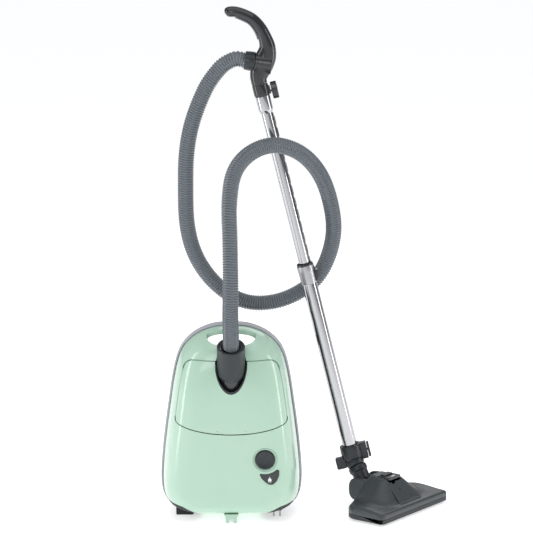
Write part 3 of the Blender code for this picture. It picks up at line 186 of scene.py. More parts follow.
# casters and reel
CASTERS = ((-0.085, 0.335), (0.085, 0.335), (-0.105, 0.085), (0.105, 0.085))
CASTER_NAMES = ("front_left", "front_right", "rear_left", "rear_right")
TRAIL = 0.014
WHEEL_R = 0.0155
WHEEL_Y = BACK_DEPTH + 0.0235
REEL_CENTRE = Vector((0.068, 0.005, 0.086))

UP = Vector((0.0, 0.0, 1.0))
X_AXIS = Vector((1.0, 0.0, 0.0))
Y_AXIS = Vector((0.0, 1.0, 0.0))
WAND_SIDE = Y_AXIS.cross(WAND_DIR).normalized()

# camera, from the photograph's framing
CAMERA_TARGET = Vector((-0.083, 0.010, 0.560))
CAMERA_DISTANCE = 9.0
CAMERA_ELEVATION = 13.0
CAMERA_LENS = 276.0
FLOOR_GLOW = 0.54


# ---------------------------------------------------------------- camera, floor and light
def aim(obj, target):
    obj.rotation_euler = (target - obj.location).to_track_quat("-Z", "Y").to_euler()


def make_camera():
    data = bpy.data.cameras.new("camera")
    data.sensor_width = 36.0
    data.lens = CAMERA_LENS
    obj = bpy.data.objects.new("camera", data)
    bpy.context.collection.objects.link(obj)
    tilt = math.radians(CAMERA_ELEVATION)
    obj.location = CAMERA_TARGET + Vector((0.0, -math.cos(tilt), math.sin(tilt))) * CAMERA_DISTANCE
    aim(obj, CAMERA_TARGET)
    bpy.context.scene.camera = obj


def area_light(name, place, target, size, power):
    data = bpy.data.lights.new(name, "AREA")
    data.shape = "RECTANGLE"
    data.size, data.size_y = size
    data.energy = power
    obj = bpy.data.objects.new(name, data)
    bpy.context.collection.objects.link(obj)
    obj.location = place
    aim(obj, Vector(target))


def make_world():
    """White to the eye, softer grey as a light, so that the softboxes show in the gloss."""
    world = bpy.data.worlds.new("studio")
    bpy.context.scene.world = world
    world.use_nodes = True
    tree = world.node_tree
    back = tree.nodes["Background"]
    seen = tree.nodes.new("ShaderNodeBackground")
    seen.inputs["Color"].default_value = (1.0, 1.0, 1.0, 1.0)
    seen.inputs["Strength"].default_value = 1.0
    back.inputs["Color"].default_value = (0.94, 0.96, 1.0, 1.0)
    back.inputs["Strength"].default_value = 0.50
    gloss = tree.nodes.new("ShaderNodeBackground")
    gloss.inputs["Color"].default_value = (0.95, 0.97, 1.0, 1.0)
    gloss.inputs["Strength"].default_value = 0.30
    path = tree.nodes.new("ShaderNodeLightPath")
    inner = tree.nodes.new("ShaderNodeMixShader")
    outer = tree.nodes.new("ShaderNodeMixShader")
    tree.links.new(path.outputs["Is Glossy Ray"], inner.inputs[0])
    tree.links.new(back.outputs[0], inner.inputs[1])
    tree.links.new(gloss.outputs[0], inner.inputs[2])
    tree.links.new(path.outputs["Is Camera Ray"], outer.inputs[0])
    tree.links.new(inner.outputs[0], outer.inputs[1])
    tree.links.new(seen.outputs[0], outer.inputs[2])
    tree.links.new(outer.outputs[0], tree.nodes["World Output"].inputs["Surface"])


def make_studio():
    make_world()
    floor_mesh = bpy.data.meshes.new("floor")
    reach = 60.0
    corners = [(-reach, -reach, 0.0), (reach, -reach, 0.0), (reach, reach, 0.0), (-reach, reach, 0.0)]
    floor_mesh.from_pydata(corners, [], [(0, 1, 2, 3)])
    floor = bpy.data.objects.new("floor", floor_mesh)
    bpy.context.collection.objects.link(floor)
    paper = surface("floor_paper", (0.93, 0.93, 0.93), 0.9, grain=60.0, bump=0.0, tint=0.004)
    paper.node_tree.nodes["Principled BSDF"].inputs["Emission Color"].default_value = (1.0, 1.0, 1.0, 1.0)
    paper.node_tree.nodes["Principled BSDF"].inputs["Emission Strength"].default_value = FLOOR_GLOW
    floor_mesh.materials.append(paper)
    area_light("top_softbox", (0.0, -0.3, 3.2), (0.0, 0.0, 0.0), (3.0, 3.0), 26.0)
    area_light("key_softbox", (-0.9, -2.9, 1.9), (0.0, 0.0, 0.5), (1.5, 1.5), 15.0)
    area_light("left_strip", (-1.9, -0.35, 0.9), (0.0, 0.0, 0.45), (0.30, 1.9), 10.0)
    area_light("right_strip", (1.9, -0.35, 0.9), (0.0, 0.0, 0.45), (0.30, 1.9), 10.0)
    area_light("back_softbox", (0.3, 2.6, 1.7), (0.0, 0.0, 0.6), (2.0, 1.4), 12.0)
    view = bpy.context.scene.view_settings
    view.view_transform = "Standard"
    view.look = "None"


# ---------------------------------------------------------------- materials
def surface(name, colour, roughness, metallic=0.0, grain=900.0, bump=0.04, tint=0.03,
            coat=0.0, stretch=(1.0, 1.0, 1.0), sheen=0.0, depth=0.0004):
    """Principled surface with fine grain in its roughness and relief and a slow drift in its colour."""
    mat = bpy.data.materials.new(name)
    mat.use_nodes = True
    tree = mat.node_tree
    shader = tree.nodes["Principled BSDF"]
    shader.inputs["Metallic"].default_value = metallic
    shader.inputs["Coat Weight"].default_value = coat
    shader.inputs["Coat Roughness"].default_value = 0.06
    shader.inputs["Sheen Weight"].default_value = sheen
    place = tree.nodes.new("ShaderNodeTexCoord")
    mapping = tree.nodes.new("ShaderNodeMapping")
    mapping.inputs["Scale"].default_value = stretch
    tree.links.new(place.outputs["Object"], mapping.inputs["Vector"])
    fine = tree.nodes.new("ShaderNodeTexNoise")
    fine.inputs["Scale"].default_value = grain
    fine.inputs["Detail"].default_value = 4.0
    tree.links.new(mapping.outputs["Vector"], fine.inputs["Vector"])
    rough = tree.nodes.new("ShaderNodeMapRange")
    rough.inputs["To Min"].default_value = roughness * 0.82
    rough.inputs["To Max"].default_value = min(roughness * 1.18, 1.0)
    tree.links.new(fine.outputs["Fac"], rough.inputs["Value"])
    tree.links.new(rough.outputs["Result"], shader.inputs["Roughness"])
    slow = tree.nodes.new("ShaderNodeTexNoise")
    slow.inputs["Scale"].default_value = 14.0
    slow.inputs["Detail"].default_value = 3.0
    tree.links.new(place.outputs["Object"], slow.inputs["Vector"])
    mix = tree.nodes.new("ShaderNodeMix")
    mix.data_type = "RGBA"
    low = [max(c * (1 - tint), 0.0) for c in colour]
    high = [min(c * (1 + tint), 1.0) for c in colour]
    mix.inputs["A"].default_value = (*low, 1.0)
    mix.inputs["B"].default_value = (*high, 1.0)
    tree.links.new(slow.outputs["Fac"], mix.inputs["Factor"])
    tree.links.new(mix.outputs["Result"], shader.inputs["Base Color"])
    if bump > 0.0:
        relief = tree.nodes.new("ShaderNodeBump")
        relief.inputs["Strength"].default_value = bump
        relief.inputs["Distance"].default_value = depth
        tree.links.new(fine.outputs["Fac"], relief.inputs["Height"])
        tree.links.new(relief.outputs["Normal"], shader.inputs["Normal"])
    return mat


def banded(mat, scale, direction, strength, coord="Object"):
    """Adds a regular band relief, such as wound wire or woven threads, on top of the grain."""
    tree = mat.node_tree
    shader = tree.nodes["Principled BSDF"]
    place = next(n for n in tree.nodes if n.type == "TEX_COORD")
    wave = tree.nodes.new("ShaderNodeTexWave")
    wave.bands_direction = direction
    wave.inputs["Scale"].default_value = scale
    wave.inputs["Distortion"].default_value = 0.0
    tree.links.new(place.outputs[coord], wave.inputs["Vector"])
    relief = tree.nodes.new("ShaderNodeBump")
    relief.inputs["Strength"].default_value = strength
    relief.inputs["Distance"].default_value = 0.0006
    tree.links.new(wave.outputs["Fac"], relief.inputs["Height"])
    old = shader.inputs["Normal"].links
    if old:
        tree.links.new(old[0].from_socket, relief.inputs["Normal"])
    tree.links.new(relief.outputs["Normal"], shader.inputs["Normal"])
    return mat


MINT = surface("mint_gloss", (0.450, 0.640, 0.510), 0.17, grain=500.0, bump=0.012, tint=0.012, coat=0.35)
DARK = surface("dark_matte", (0.020, 0.024, 0.027), 0.48, grain=1500.0, bump=0.18, tint=0.05)
BLACK = surface("black_gloss", (0.018, 0.021, 0.023), 0.16, grain=500.0, bump=0.02, tint=0.06, coat=0.25)
SATIN = surface("satin_dark", (0.018, 0.023, 0.026), 0.34, grain=1300.0, bump=0.10, tint=0.05)
HEAD_GREY = surface("head_satin", (0.045, 0.054, 0.056), 0.36, grain=1500.0, bump=0.12, tint=0.05)
INSERT = surface("grip_insert", (0.16, 0.17, 0.18), 0.62, grain=1800.0, bump=0.2, tint=0.05)
BELT = surface("belt_grey", (0.42, 0.42, 0.455), 0.72, grain=2200.0, bump=0.15, tint=0.04, sheen=0.15)
HOSE_GREY = surface("hose_grey", (0.140, 0.160, 0.177), 0.24, grain=1200.0, bump=0.06, tint=0.06)
CHROME = surface("chrome_tube", (0.50, 0.50, 0.51), 0.15, 1.0, grain=700.0, bump=0.02, tint=0.03,
                 stretch=(1.0, 1.0, 0.02))
STEEL = surface("steel_part", (0.42, 0.42, 0.43), 0.32, 1.0, grain=900.0, bump=0.05, tint=0.04,
                stretch=(1.0, 1.0, 0.05))
RAIL = surface("rail_steel", (0.20, 0.20, 0.21), 0.30, 1.0, grain=900.0, bump=0.05, tint=0.05)
COPPER = banded(surface("copper_coil", (0.72, 0.33, 0.16), 0.36, 1.0, grain=900.0, bump=0.05, tint=0.08),
                900.0, "Z", 0.7)
RUBBER = surface("rubber_black", (0.022, 0.023, 0.025), 0.72, grain=1600.0, bump=0.22, tint=0.10)
FELT = surface("filter_white", (0.78, 0.78, 0.76), 0.92, grain=1900.0, bump=0.55, tint=0.05, sheen=0.25)
FLEECE = surface("bag_fleece", (0.72, 0.69, 0.60), 0.93, grain=1500.0, bump=0.5, tint=0.06, sheen=0.3)
CARD = surface("bag_card", (0.50, 0.37, 0.23), 0.85, grain=700.0, bump=0.35, tint=0.10,
               stretch=(1.0, 1.0, 0.3))
NICKEL = surface("prong_nickel", (0.36, 0.36, 0.37), 0.24, 1.0, grain=700.0, bump=0.03, tint=0.03)
WHITE = surface("print_white", (0.86, 0.88, 0.87), 0.45, grain=900.0, bump=0.05, tint=0.01)
BRISTLE = surface("bristle", (0.05, 0.05, 0.052), 0.65, grain=1800.0, bump=0.2, tint=0.15)


# ---------------------------------------------------------------- mesh helpers
def new_object(name, verts, faces, mat, sharp=35.0):
    mesh = bpy.data.meshes.new(name)
    mesh.from_pydata([tuple(v) for v in verts], [], faces)
    mesh.materials.append(mat)
    bm = bmesh.new()
    bm.from_mesh(mesh)
    bmesh.ops.recalc_face_normals(bm, faces=bm.faces)
    bm.to_mesh(mesh)
    bm.free()
    mesh.shade_smooth()
    mesh.set_sharp_from_angle(angle=math.radians(sharp))
    obj = bpy.data.objects.new(name, mesh)
    bpy.context.collection.objects.link(obj)
    return obj


def loft(name, rings, mat, closed=False, sharp=35.0):
    """Skin a list of equal rings; caps both ends, or closes the loop."""
    count = len(rings[0])
    verts = [p for ring in rings for p in ring]
    faces = []
    steps = len(rings) if closed else len(rings) - 1
    for i in range(steps):
        a = i * count
        b = ((i + 1) % len(rings)) * count
        for j in range(count):
            k = (j + 1) % count
            faces.append((a + j, a + k, b + k, b + j))
    if not closed:
        faces.append(tuple(range(count))[::-1])
        faces.append(tuple(range(len(verts) - count, len(verts))))
    return new_object(name, verts, faces, mat, sharp)


def side_vector(axis):
    hint = Y_AXIS if abs(axis.dot(Y_AXIS)) < 0.9 else X_AXIS
    return hint.cross(axis).normalized()


def rounded(outline, radius, closed=True, steps=4):
    """Turns the corners of a two-dimensional outline into small arcs."""
    out = []
    n = len(outline)
    for i, corner in enumerate(outline):
        p = Vector(corner)
        if not closed and i in (0, n - 1):
            out.append(tuple(p))
            continue
        a, b = Vector(outline[i - 1]) - p, Vector(outline[(i + 1) % n]) - p
        reach = min(radius, a.length * 0.45, b.length * 0.45)
        if reach < 0.00002 or abs(a.normalized().dot(b.normalized())) > 0.998:
            out.append(tuple(p))
            continue
        start, end = p + a.normalized() * reach, p + b.normalized() * reach
        for k in range(steps + 1):
            t = k / steps
            out.append(tuple(start * (1 - t) ** 2 + p * (2 * t * (1 - t)) + end * (t * t)))
    return out


def lathe(name, origin, axis, profile, mat, segments=56, ring=False, soften=0.0007):
    """Turn a (radius, height) profile about an axis; ring=True closes the profile on itself."""
    axis = axis.normalized()
    u = side_vector(axis)
    v = axis.cross(u)
    if not ring:
        tip = 0.0003
        profile = [(tip, profile[0][1]), *profile, (tip, profile[-1][1])]
    if soften > 0.0:
        profile = rounded(profile, soften, closed=ring)
    rings = []
    for radius, height in profile:
        centre = origin + axis * height
        angles = [2 * math.pi * k / segments for k in range(segments)]
        rings.append([centre + (u * math.cos(a) + v * math.sin(a)) * radius for a in angles])
    return loft(name, rings, mat, closed=ring)


def prism(name, outline, origin, u, v, w, low, high, mat):
    """Extrude a closed (u, v) outline along w from low to high."""
    rings = []
    for h in (low, high):
        rings.append([origin + u * a + v * b + w * h for a, b in outline])
    return loft(name, rings, mat)


def bevel(obj, width=0.0007, segments=3, angle=40.0):
    mod = obj.modifiers.new("edges", "BEVEL")
    mod.width = width
    mod.segments = segments
    mod.limit_method = "ANGLE"
    mod.angle_limit = math.radians(angle)
    mod.harden_normals = True
    return obj


def block(name, centre, u, v, w, size, mat, corner=0.0, edge=0.0007):
    """Box with rounded corners in its u-v face and softened edges."""
    a, b, c = size[0] / 2, size[1] / 2, size[2] / 2
    outline = [(-a, -b), (a, -b), (a, b), (-a, b)]
    if corner > 0.0:
        outline = rounded(outline, corner, steps=6)
    return bevel(prism(name, outline, centre, u, v, w, -c, c, mat), edge)


def slab(name, low, high, mat=DARK, edge=0.0007):
    low, high = Vector(low), Vector(high)
    return block(name, (low + high) / 2, X_AXIS, Y_AXIS, UP, high - low, mat, 0.0, edge)


def plain_slab(name, low, high):
    """Axis-aligned cutter box with sharp edges."""
    obj = slab(name, low, high)
    obj.modifiers.clear()
    return obj


def boolean(target, tools, operation):
    """Apply one exact boolean per tool and delete the tools."""
    for tool in tools:
        mod = target.modifiers.new("cut", "BOOLEAN")
        mod.operation = operation
        mod.solver = "EXACT"
        mod.object = tool
        bpy.context.view_layer.update()
        graph = bpy.context.evaluated_depsgraph_get()
        mesh = bpy.data.meshes.new_from_object(target.evaluated_get(graph))
        target.modifiers.clear()
        keep = target.data.materials[0]
        target.data = mesh
        mesh.materials.clear()
        mesh.materials.append(keep)
        mesh.polygons.foreach_set("material_index", [0] * len(mesh.polygons))
        bpy.data.objects.remove(tool)
    return target


def cut(target, *tools):
    return boolean(target, tools, "DIFFERENCE")


def common(target, *tools):
    return boolean(target, tools, "INTERSECT")


def curve_points(points, count, closed):
    """Catmull-Rom through the points, resampled to even arc length."""
    pts = [Vector(p) for p in points]
    n = len(pts)
    dense = []
    spans = n if closed else n - 1
    for i in range(spans):
        p1, p2 = pts[i], pts[(i + 1) % n]
        p0 = pts[(i - 1) % n] if closed or i > 0 else p1 * 2 - p2
        p3 = pts[(i + 2) % n] if closed or i + 2 < n else p2 * 2 - p1
        for k in range(16):
            t = k / 16
            a = p1 * 2
            b = (p2 - p0) * t
            c = (p0 * 2 - p1 * 5 + p2 * 4 - p3) * (t * t)
            d = (p1 * 3 - p0 - p2 * 3 + p3) * (t ** 3)
            dense.append((a + b + c + d) / 2)
    dense.append(dense[0].copy() if closed else pts[-1].copy())
    lengths = [0.0]
    for a, b in zip(dense, dense[1:]):
        lengths.append(lengths[-1] + (b - a).length)
    result = []
    steps = count if closed else count - 1
    j = 0
    for i in range(count):
        goal = lengths[-1] * i / steps
        while j < len(lengths) - 2 and lengths[j + 1] < goal:
            j += 1
        span = lengths[j + 1] - lengths[j]
        t = (goal - lengths[j]) / span if span > 0 else 0.0
        result.append(dense[j].lerp(dense[j + 1], min(max(t, 0.0), 1.0)))
    return result


def smooth_values(rows, count):
    """Catmull-Rom through rows of plain numbers, at even steps of the row index."""
    out = []
    last = len(rows) - 1
    for i in range(count):
        x = last * i / (count - 1)
        k = min(int(x), last - 1)
        t = x - k
        r0, r1, r2, r3 = rows[max(k - 1, 0)], rows[k], rows[k + 1], rows[min(k + 2, last)]
        out.append(tuple(
            0.5 * (2 * b + (c - a) * t + (2 * a - 5 * b + 4 * c - d) * t * t + (3 * b - a - 3 * c + d) * t ** 3)
            for a, b, c, d in zip(r0, r1, r2, r3)))
    return out


def triangulated(obj):
    """Split the warped four-sided faces so that every face is flat."""
    bm = bmesh.new()
    bm.from_mesh(obj.data)
    bmesh.ops.triangulate(bm, faces=[f for f in bm.faces if len(f.verts) == 4])
    bm.to_mesh(obj.data)
    bm.free()
    return obj


def mirrored(half):
    """Full closed outline from the x >= 0 half, listed from the top or bottom centre."""
    left = [(-x, z) for x, z in reversed(half) if x > 0.0]
    return list(half) + left


def grown(outline, grow):
    """Offset a closed outline outwards."""
    area = sum(a[0] * b[1] - b[0] * a[1] for a, b in zip(outline, outline[1:] + outline[:1]))
    sign = 1 if area > 0 else -1
    out = []
    n = len(outline)
    for i in range(n):
        a, b, c = outline[i - 1], outline[i], outline[(i + 1) % n]
        t = (Vector((c[0], c[1])) - Vector((a[0], a[1]))).normalized() * sign
        out.append((b[0] + t.y * grow, b[1] - t.x * grow))
    return out


def add(obj, body, *nodes, slot=None):
    """Puts a finished piece in its place, riding on its body, in place of its CAD nodes."""
    obj.location = obj.location + SHIFT
    bpy.context.view_layer.update()
    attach(obj, body)
    if nodes:
        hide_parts(*nodes)
    return obj


# ---------------------------------------------------------------- body shape
def body_outline(inset):
    pts = curve_points([(x, z, 0.0) for x, z in mirrored(BODY_OUTLINE)], BODY_POINTS, True)
    out = []
    for i, p in enumerate(pts):
        tangent = (pts[(i + 1) % len(pts)] - pts[i - 1]).normalized()
        out.append((p.x + tangent.y * inset, p.y - tangent.x * inset))
    return out


def front_depth(z):
    t = min(max((z - 0.15) / 0.28, 0.0), 1.0)
    t = t * t * (3 - 2 * t)
    return FRONT_DEPTH_REAR_END + (FRONT_DEPTH_FRONT_END - FRONT_DEPTH_REAR_END) * t


def fullness(x, z):
    """Exponent of the rounding: fuller towards the rear end."""
    down = max(0.0, (BODY_CENTRE_Z - z) / math.hypot(x, z - BODY_CENTRE_Z))
    return 6.5 + 9.5 * down ** 3


def pillow(name, inset, mat, front=True, back=True):
    """Pillow-shaped solid: concentric outlines lifted to both sides of the parting plane."""
    outline = body_outline(inset)
    n = len(outline)

    def ring(angle, sign):
        pts = []
        for x, z in outline:
            rise = math.sin(math.radians(angle))
            scale = math.cos(math.radians(angle)) ** (2 / fullness(x, z))
            px, pz = x * scale, BODY_CENTRE_Z + (z - BODY_CENTRE_Z) * scale
            depth = (front_depth(pz) if sign < 0 else BACK_DEPTH) - inset
            pts.append(Vector((px, sign * depth * rise, pz)))
        return pts

    rings = []
    if front:
        rings += [ring(s, -1) for s in reversed(RING_ANGLES)]
    else:
        rings.append([Vector((x, 0.0, z)) for x, z in outline])
    if back:
        rings += [ring(s, 1) for s in RING_ANGLES[1:]]
    verts = [p for r in rings for p in r]
    faces = []
    for i in range(len(rings) - 1):
        for j in range(n):
            k = (j + 1) % n
            faces.append((i * n + j, i * n + k, (i + 1) * n + k, (i + 1) * n + j))
    for start, side in ((0, -1), ((len(rings) - 1) * n, 1)):
        flat = (side < 0 and not front) or (side > 0 and not back)
        if flat:
            faces.append(tuple(range(start, start + n)))
            continue
        depth = (front_depth(BODY_CENTRE_Z) if side < 0 else BACK_DEPTH) - inset
        verts.append(Vector((0.0, side * depth, BODY_CENTRE_Z)))
        faces += [(start + j, start + (j + 1) % n, len(verts) - 1) for j in range(n)]
    return triangulated(new_object(name, verts, faces, mat))


class Skin:
    """Smooth normals of an uncut solid, looked up at the nearest point."""

    def __init__(self, obj):
        mesh = obj.data
        mesh.calc_loop_triangles()
        self.points = [v.co.copy() for v in mesh.vertices]
        self.normals = [v.normal.copy() for v in mesh.vertices]
        self.triangles = [tuple(t.vertices) for t in mesh.loop_triangles]
        self.tree = BVHTree.FromPolygons(self.points, self.triangles)

    def look(self, point):
        hit, _, index, distance = self.tree.find_nearest(point)
        corners = self.triangles[index]
        weights = poly_3d_calc([self.points[c] for c in corners], hit)
        normal = Vector()
        for corner, weight in zip(corners, weights):
            normal += self.normals[corner] * weight
        return normal.normalized(), distance


def shade_like(obj, *skins):
    """Gives the cut piece the smooth shading of the uncut solids that it was cut from."""
    mesh = obj.data
    bm = bmesh.new()
    bm.from_mesh(mesh)
    bmesh.ops.remove_doubles(bm, verts=bm.verts, dist=0.000004)
    bmesh.ops.dissolve_degenerate(bm, edges=bm.edges, dist=0.000004)
    bmesh.ops.recalc_face_normals(bm, faces=bm.faces)
    bm.to_mesh(mesh)
    bm.free()
    mesh.shade_smooth()
    mesh.set_sharp_from_angle(angle=math.radians(30))
    normals = [Vector(c.vector) for c in mesh.corner_normals]
    found = {}
    for face in mesh.polygons:
        for loop_index in face.loop_indices:
            vertex = mesh.loops[loop_index].vertex_index
            if vertex not in found:
                found[vertex] = [skin.look(mesh.vertices[vertex].co) for skin in skins]
            for normal, distance in found[vertex]:
                if distance < 0.00005 and abs(normal.dot(face.normal)) > 0.80:
                    normals[loop_index] = normal if normal.dot(face.normal) > 0 else -normal
                    break
    mesh.normals_split_custom_set(normals)
    return obj


def lens(top, low, half_x, count=48):
    """Lens-shaped hole outline in x-z."""
    mid = low + (top - low) * 0.42
    pts = []
    for k in range(count):
        a = 2 * math.pi * k / count
        c, s = math.cos(a), math.sin(a)
        x = half_x * math.copysign(abs(c) ** 0.9, c)
        rise = (top - mid) if s > 0 else (mid - low)
        pts.append((x, mid + rise * math.copysign(abs(s) ** 0.8, s)))
    return pts


def handle_hole(name, grow, back=0.0):
    """Finger opening that falls towards the underside, with a scoop in front of the handle bar."""
    rings = []
    bar = HOLE_SCOOP_Y + grow
    for y, scoop in ((-0.12, True), (bar - 0.001, True), (bar, False), (back, False)):
        drop = HOLE_SLOPE * (y - HOLE_ZERO_Y)
        high = HOLE_SCOOP_Z if scoop else HOLE_HIGH_Z - drop
        pts = lens(high + grow, HOLE_LOW_Z - drop - grow, HOLE_HALF_X + grow)
        rings.append([Vector((x, y, z)) for x, z in pts])
    return triangulated(loft(name, rings, DARK))


def inlet_cylinder(name, radius, near, far):
    return lathe(name, CUFF_RIM, -INLET_AXIS, [(radius, near), (radius, far)], DARK, 64, soften=0.0)


def lid_prism(name, grow, side_grow=None):
    """Cutter in the shape of the lid, grown at its ends and, if stated, less along its sides."""
    pts = curve_points([(x, z, 0.0) for x, z in mirrored(LID_OUTLINE)], 120, True)
    outline = []
    for i, p in enumerate(pts):
        tangent = (pts[(i + 1) % len(pts)] - pts[i - 1]).normalized()
        on_side = side_grow is not None and LID_SIDE_LOW_Z < p.y < LID_SIDE_HIGH_Z
        reach = side_grow if on_side else grow
        outline.append((p.x + tangent.y * reach, p.y - tangent.x * reach))
    return prism(name, outline, Vector(), X_AXIS, UP, Y_AXIS, -0.2, -0.008, DARK)


def corner_cutter(name, side, grow):
    """Wedge that holds one rear corner of the top cover."""
    pts = [(0.0670 - grow, -0.02), (0.0670 - grow, 0.0110 + grow), (0.0900, 0.0265 + grow),
           (0.1080, 0.0375 + grow),
           (0.1310, 0.0435 + grow), (0.17, 0.0500 + grow), (0.17, -0.02)]
    outline = [(side * x, z) for x, z in pts]
    return prism(name, outline, Vector(), X_AXIS, UP, Y_AXIS, -0.2, 0.01, DARK)


def copy_of(obj, name, mat):
    twin = bpy.data.objects.new(name, obj.data.copy())
    bpy.context.collection.objects.link(twin)
    twin.data.materials[0] = mat
    return twin


def cover_y(x, z):
    """Height of the top cover's outer surface at (x, z)."""
    outline = body_outline(0.0)
    angle = math.atan2(z - BODY_CENTRE_Z, x)
    target = math.hypot(x, z - BODY_CENTRE_Z)
    edge = min(outline, key=lambda p: abs(math.remainder(
        math.atan2(p[1] - BODY_CENTRE_Z, p[0]) - angle, 2 * math.pi)))
    best = target / math.hypot(edge[0], edge[1] - BODY_CENTRE_Z)
    return -front_depth(z) * math.sqrt(max(0.0, 1 - best ** fullness(*edge)))


# ---------------------------------------------------------------- body pieces
def make_body():
    outer = pillow("outer", GAP, MINT, back=False)
    inner = pillow("inner", BODY_WALL, MINT)
    skins = (Skin(outer), Skin(inner))
    cut(inner, handle_hole("tunnel", HOLE_WALL, 0.2))
    cut(outer, inner)
    cut(outer, plain_slab("trim", (-0.3, -GAP, -0.1), (0.3, 0.1, 0.6)))
    make_lid(copy_of(outer, "lid_panel", MINT), skins)
    make_corner(copy_of(outer, "rear_corner_left", RUBBER), skins, "corner_left", -1)
    make_corner(copy_of(outer, "rear_corner_right", RUBBER), skins, "corner_right", 1)
    make_cover(outer, skins)
    make_lid_gap_lip()
    make_lower_shell()
    make_belt()


def make_cover(cover, skins):
    cover.name = "cover"
    cut(cover, lid_prism("lid_hole", LID_GAP, LID_SIDE_GAP), handle_hole("finger_hole", 0.0, 0.2),
        inlet_cylinder("inlet_cut", SOCKET_R + 0.0010, -0.2, 0.11),
        corner_cutter("left_cut", -1, GAP), corner_cutter("right_cut", 1, GAP),
        lathe("button_hole", Vector((BUTTON_X, 0.0, BUTTON_Z)), -Y_AXIS,
              [(BUTTON_WELL_R, 0.0), (BUTTON_WELL_R, 0.2)], MINT, 64, soften=0.0),
        prism("pedal_hole", rounded(grown(PEDAL_OUTLINE, 0.0006), 0.003), Vector(), X_AXIS, UP, Y_AXIS,
              -0.2, -0.01, MINT))
    shade_like(cover, *skins)
    add(cover, "machine", "top_cover")
    outline = [(-0.0123, 0.0), (-0.0048, 0.0), (-0.0048, 0.0100), (0.0048, 0.0100), (0.0048, 0.0),
               (0.0123, 0.0), (0.0123, 0.0120), (0.0165, 0.0200), (-0.0165, 0.0200), (-0.0123, 0.0120)]
    clip = prism("parking_clip", rounded(outline, 0.0014), Vector(), X_AXIS, UP, Y_AXIS, -0.097, -0.040, MINT)
    add(bevel(clip), "machine")
    # Dark rubber block in the parking clip's notch: painted shade for the clip's dark inside.
    shade = plain_slab("clip_notch_shade", (-0.0100, -0.060, 0.0006), (0.0100, -0.044, 0.0118))
    shade.data.materials[0] = RUBBER
    add(shade, "machine")
    for side, label in ((-1, "left"), (1, "right")):
        lug = [(-0.0165, -0.012), (0.0005, -0.008), (0.0080, -0.004), (0.0080, 0.004),
               (0.0005, 0.008), (-0.0165, 0.012)]
        origin = Vector((side * 0.0425, HINGE_Y, HINGE_Z))
        piece = prism("hinge_lug_" + label, rounded(lug, 0.002), origin, Y_AXIS, UP, X_AXIS, -0.002, 0.002,
                      MINT)
        add(bevel(piece, 0.0005), "machine")


def make_lid(panel, skins):
    common(panel, lid_prism("lid_shape", 0.0))
    cut(panel, inlet_cylinder("socket_cut", SOCKET_R + SOCKET_WALL + GAP, -0.2, 0.16))
    shade_like(panel, *skins)
    add(panel, "lid", "lid")
    outer = ARM_OUT_R - ARM_SINK
    for side, label in ((-1, "left"), (1, "right")):
        pts = []
        for k in range(19):
            a = math.radians(24 - 6.5 * k)
            pts.append((-outer * math.sin(a), outer * math.cos(a)))
        pts += [(0.036, -0.006), (0.004, -0.006), (-0.0045, -0.004), (-0.0045, 0.004), (0.004, 0.005),
                (0.0330, 0.005)]
        for k in range(15, -1, -1):
            a = math.radians(24 - 6.5 * k)
            pts.append((-ARM_IN_R * math.sin(a), ARM_IN_R * math.cos(a)))
        origin = Vector((side * HINGE_ARM_X, HINGE_Y, HINGE_Z))
        arm = prism("hinge_arm_" + label, pts, origin, Y_AXIS, UP, X_AXIS, -0.0025, 0.0025, MINT)
        add(bevel(arm, 0.0006), "lid")
    profile = [(SOCKET_R, 0.0), (SOCKET_R, SOCKET_END - 0.006), (0.019, SOCKET_END),
               (0.019, SOCKET_END + 0.004), (SOCKET_R + SOCKET_WALL, SOCKET_END - 0.003),
               (SOCKET_R + SOCKET_WALL, 0.0)]
    socket = lathe("inlet_bowl", CUFF_RIM, -INLET_AXIS, profile, BLACK, 64, ring=True, soften=0.0)
    common(socket, pillow("skin", 0.0006, BLACK))
    cut(socket, plain_slab("above", (-0.2, -0.2, 0.3610), (0.2, 0.2, 0.5)))
    shade_like(socket)
    add(socket, "lid", "inlet_socket")


def make_corner(part, skins, node, side):
    common(part, corner_cutter("corner", side, 0.0))
    if side > 0:
        cut(part, plain_slab("plug_slot", (0.0905, -0.0640, -0.02), (0.1170, -0.0354, 0.060)))
    shade_like(part, *skins)
    add(part, "machine", node, slot="dark_matte")
    if side < 0:
        outline = [(-0.1232, 0.0), (-0.0860, 0.0), (-0.0760, 0.0150), (-0.1232, 0.0220)]
        foot = prism("wedge_foot", rounded(outline, 0.002), Vector(), X_AXIS, UP, Y_AXIS, -0.030, -0.010,
                     RUBBER)
        add(bevel(foot), "machine", slot="dark_matte")


def make_lid_gap_lip():
    """Lip under the gap between lid and cover: dark rubber along the lower line as painted shade in that gap,
    body colour elsewhere.
    """
    shade_lip = pillow("lid_shade_lip", 0.0034, RUBBER, back=False)
    cut(shade_lip, pillow("lip_inner_cut", 0.0060, RUBBER))
    common(shade_lip, lid_prism("lip_outer_cut", 0.0050))
    cut(shade_lip, lid_prism("lip_inner_edge_cut", -0.0045), inlet_cylinder("lip_inlet_cut", SOCKET_R + 0.0045, -0.2, 0.16),
        plain_slab("lip_arms_cut", (-0.040, -0.2, 0.190), (0.040, 0.0, 0.225)))
    ledge = copy_of(shade_lip, "lid_ledge", MINT)
    # The dark part below the split height is painted shade along the lower lid line; the mint copy keeps the
    # rest.
    cut(shade_lip, plain_slab("upper", (-0.2, -0.2, LIP_SHADE_SPLIT_Z), (0.2, 0.1, 0.5)))
    cut(ledge, plain_slab("lower", (-0.2, -0.2, 0.0), (0.2, 0.1, LIP_SHADE_SPLIT_Z)))
    shade_like(shade_lip)
    shade_like(ledge)
    add(shade_lip, "machine")
    add(ledge, "machine")


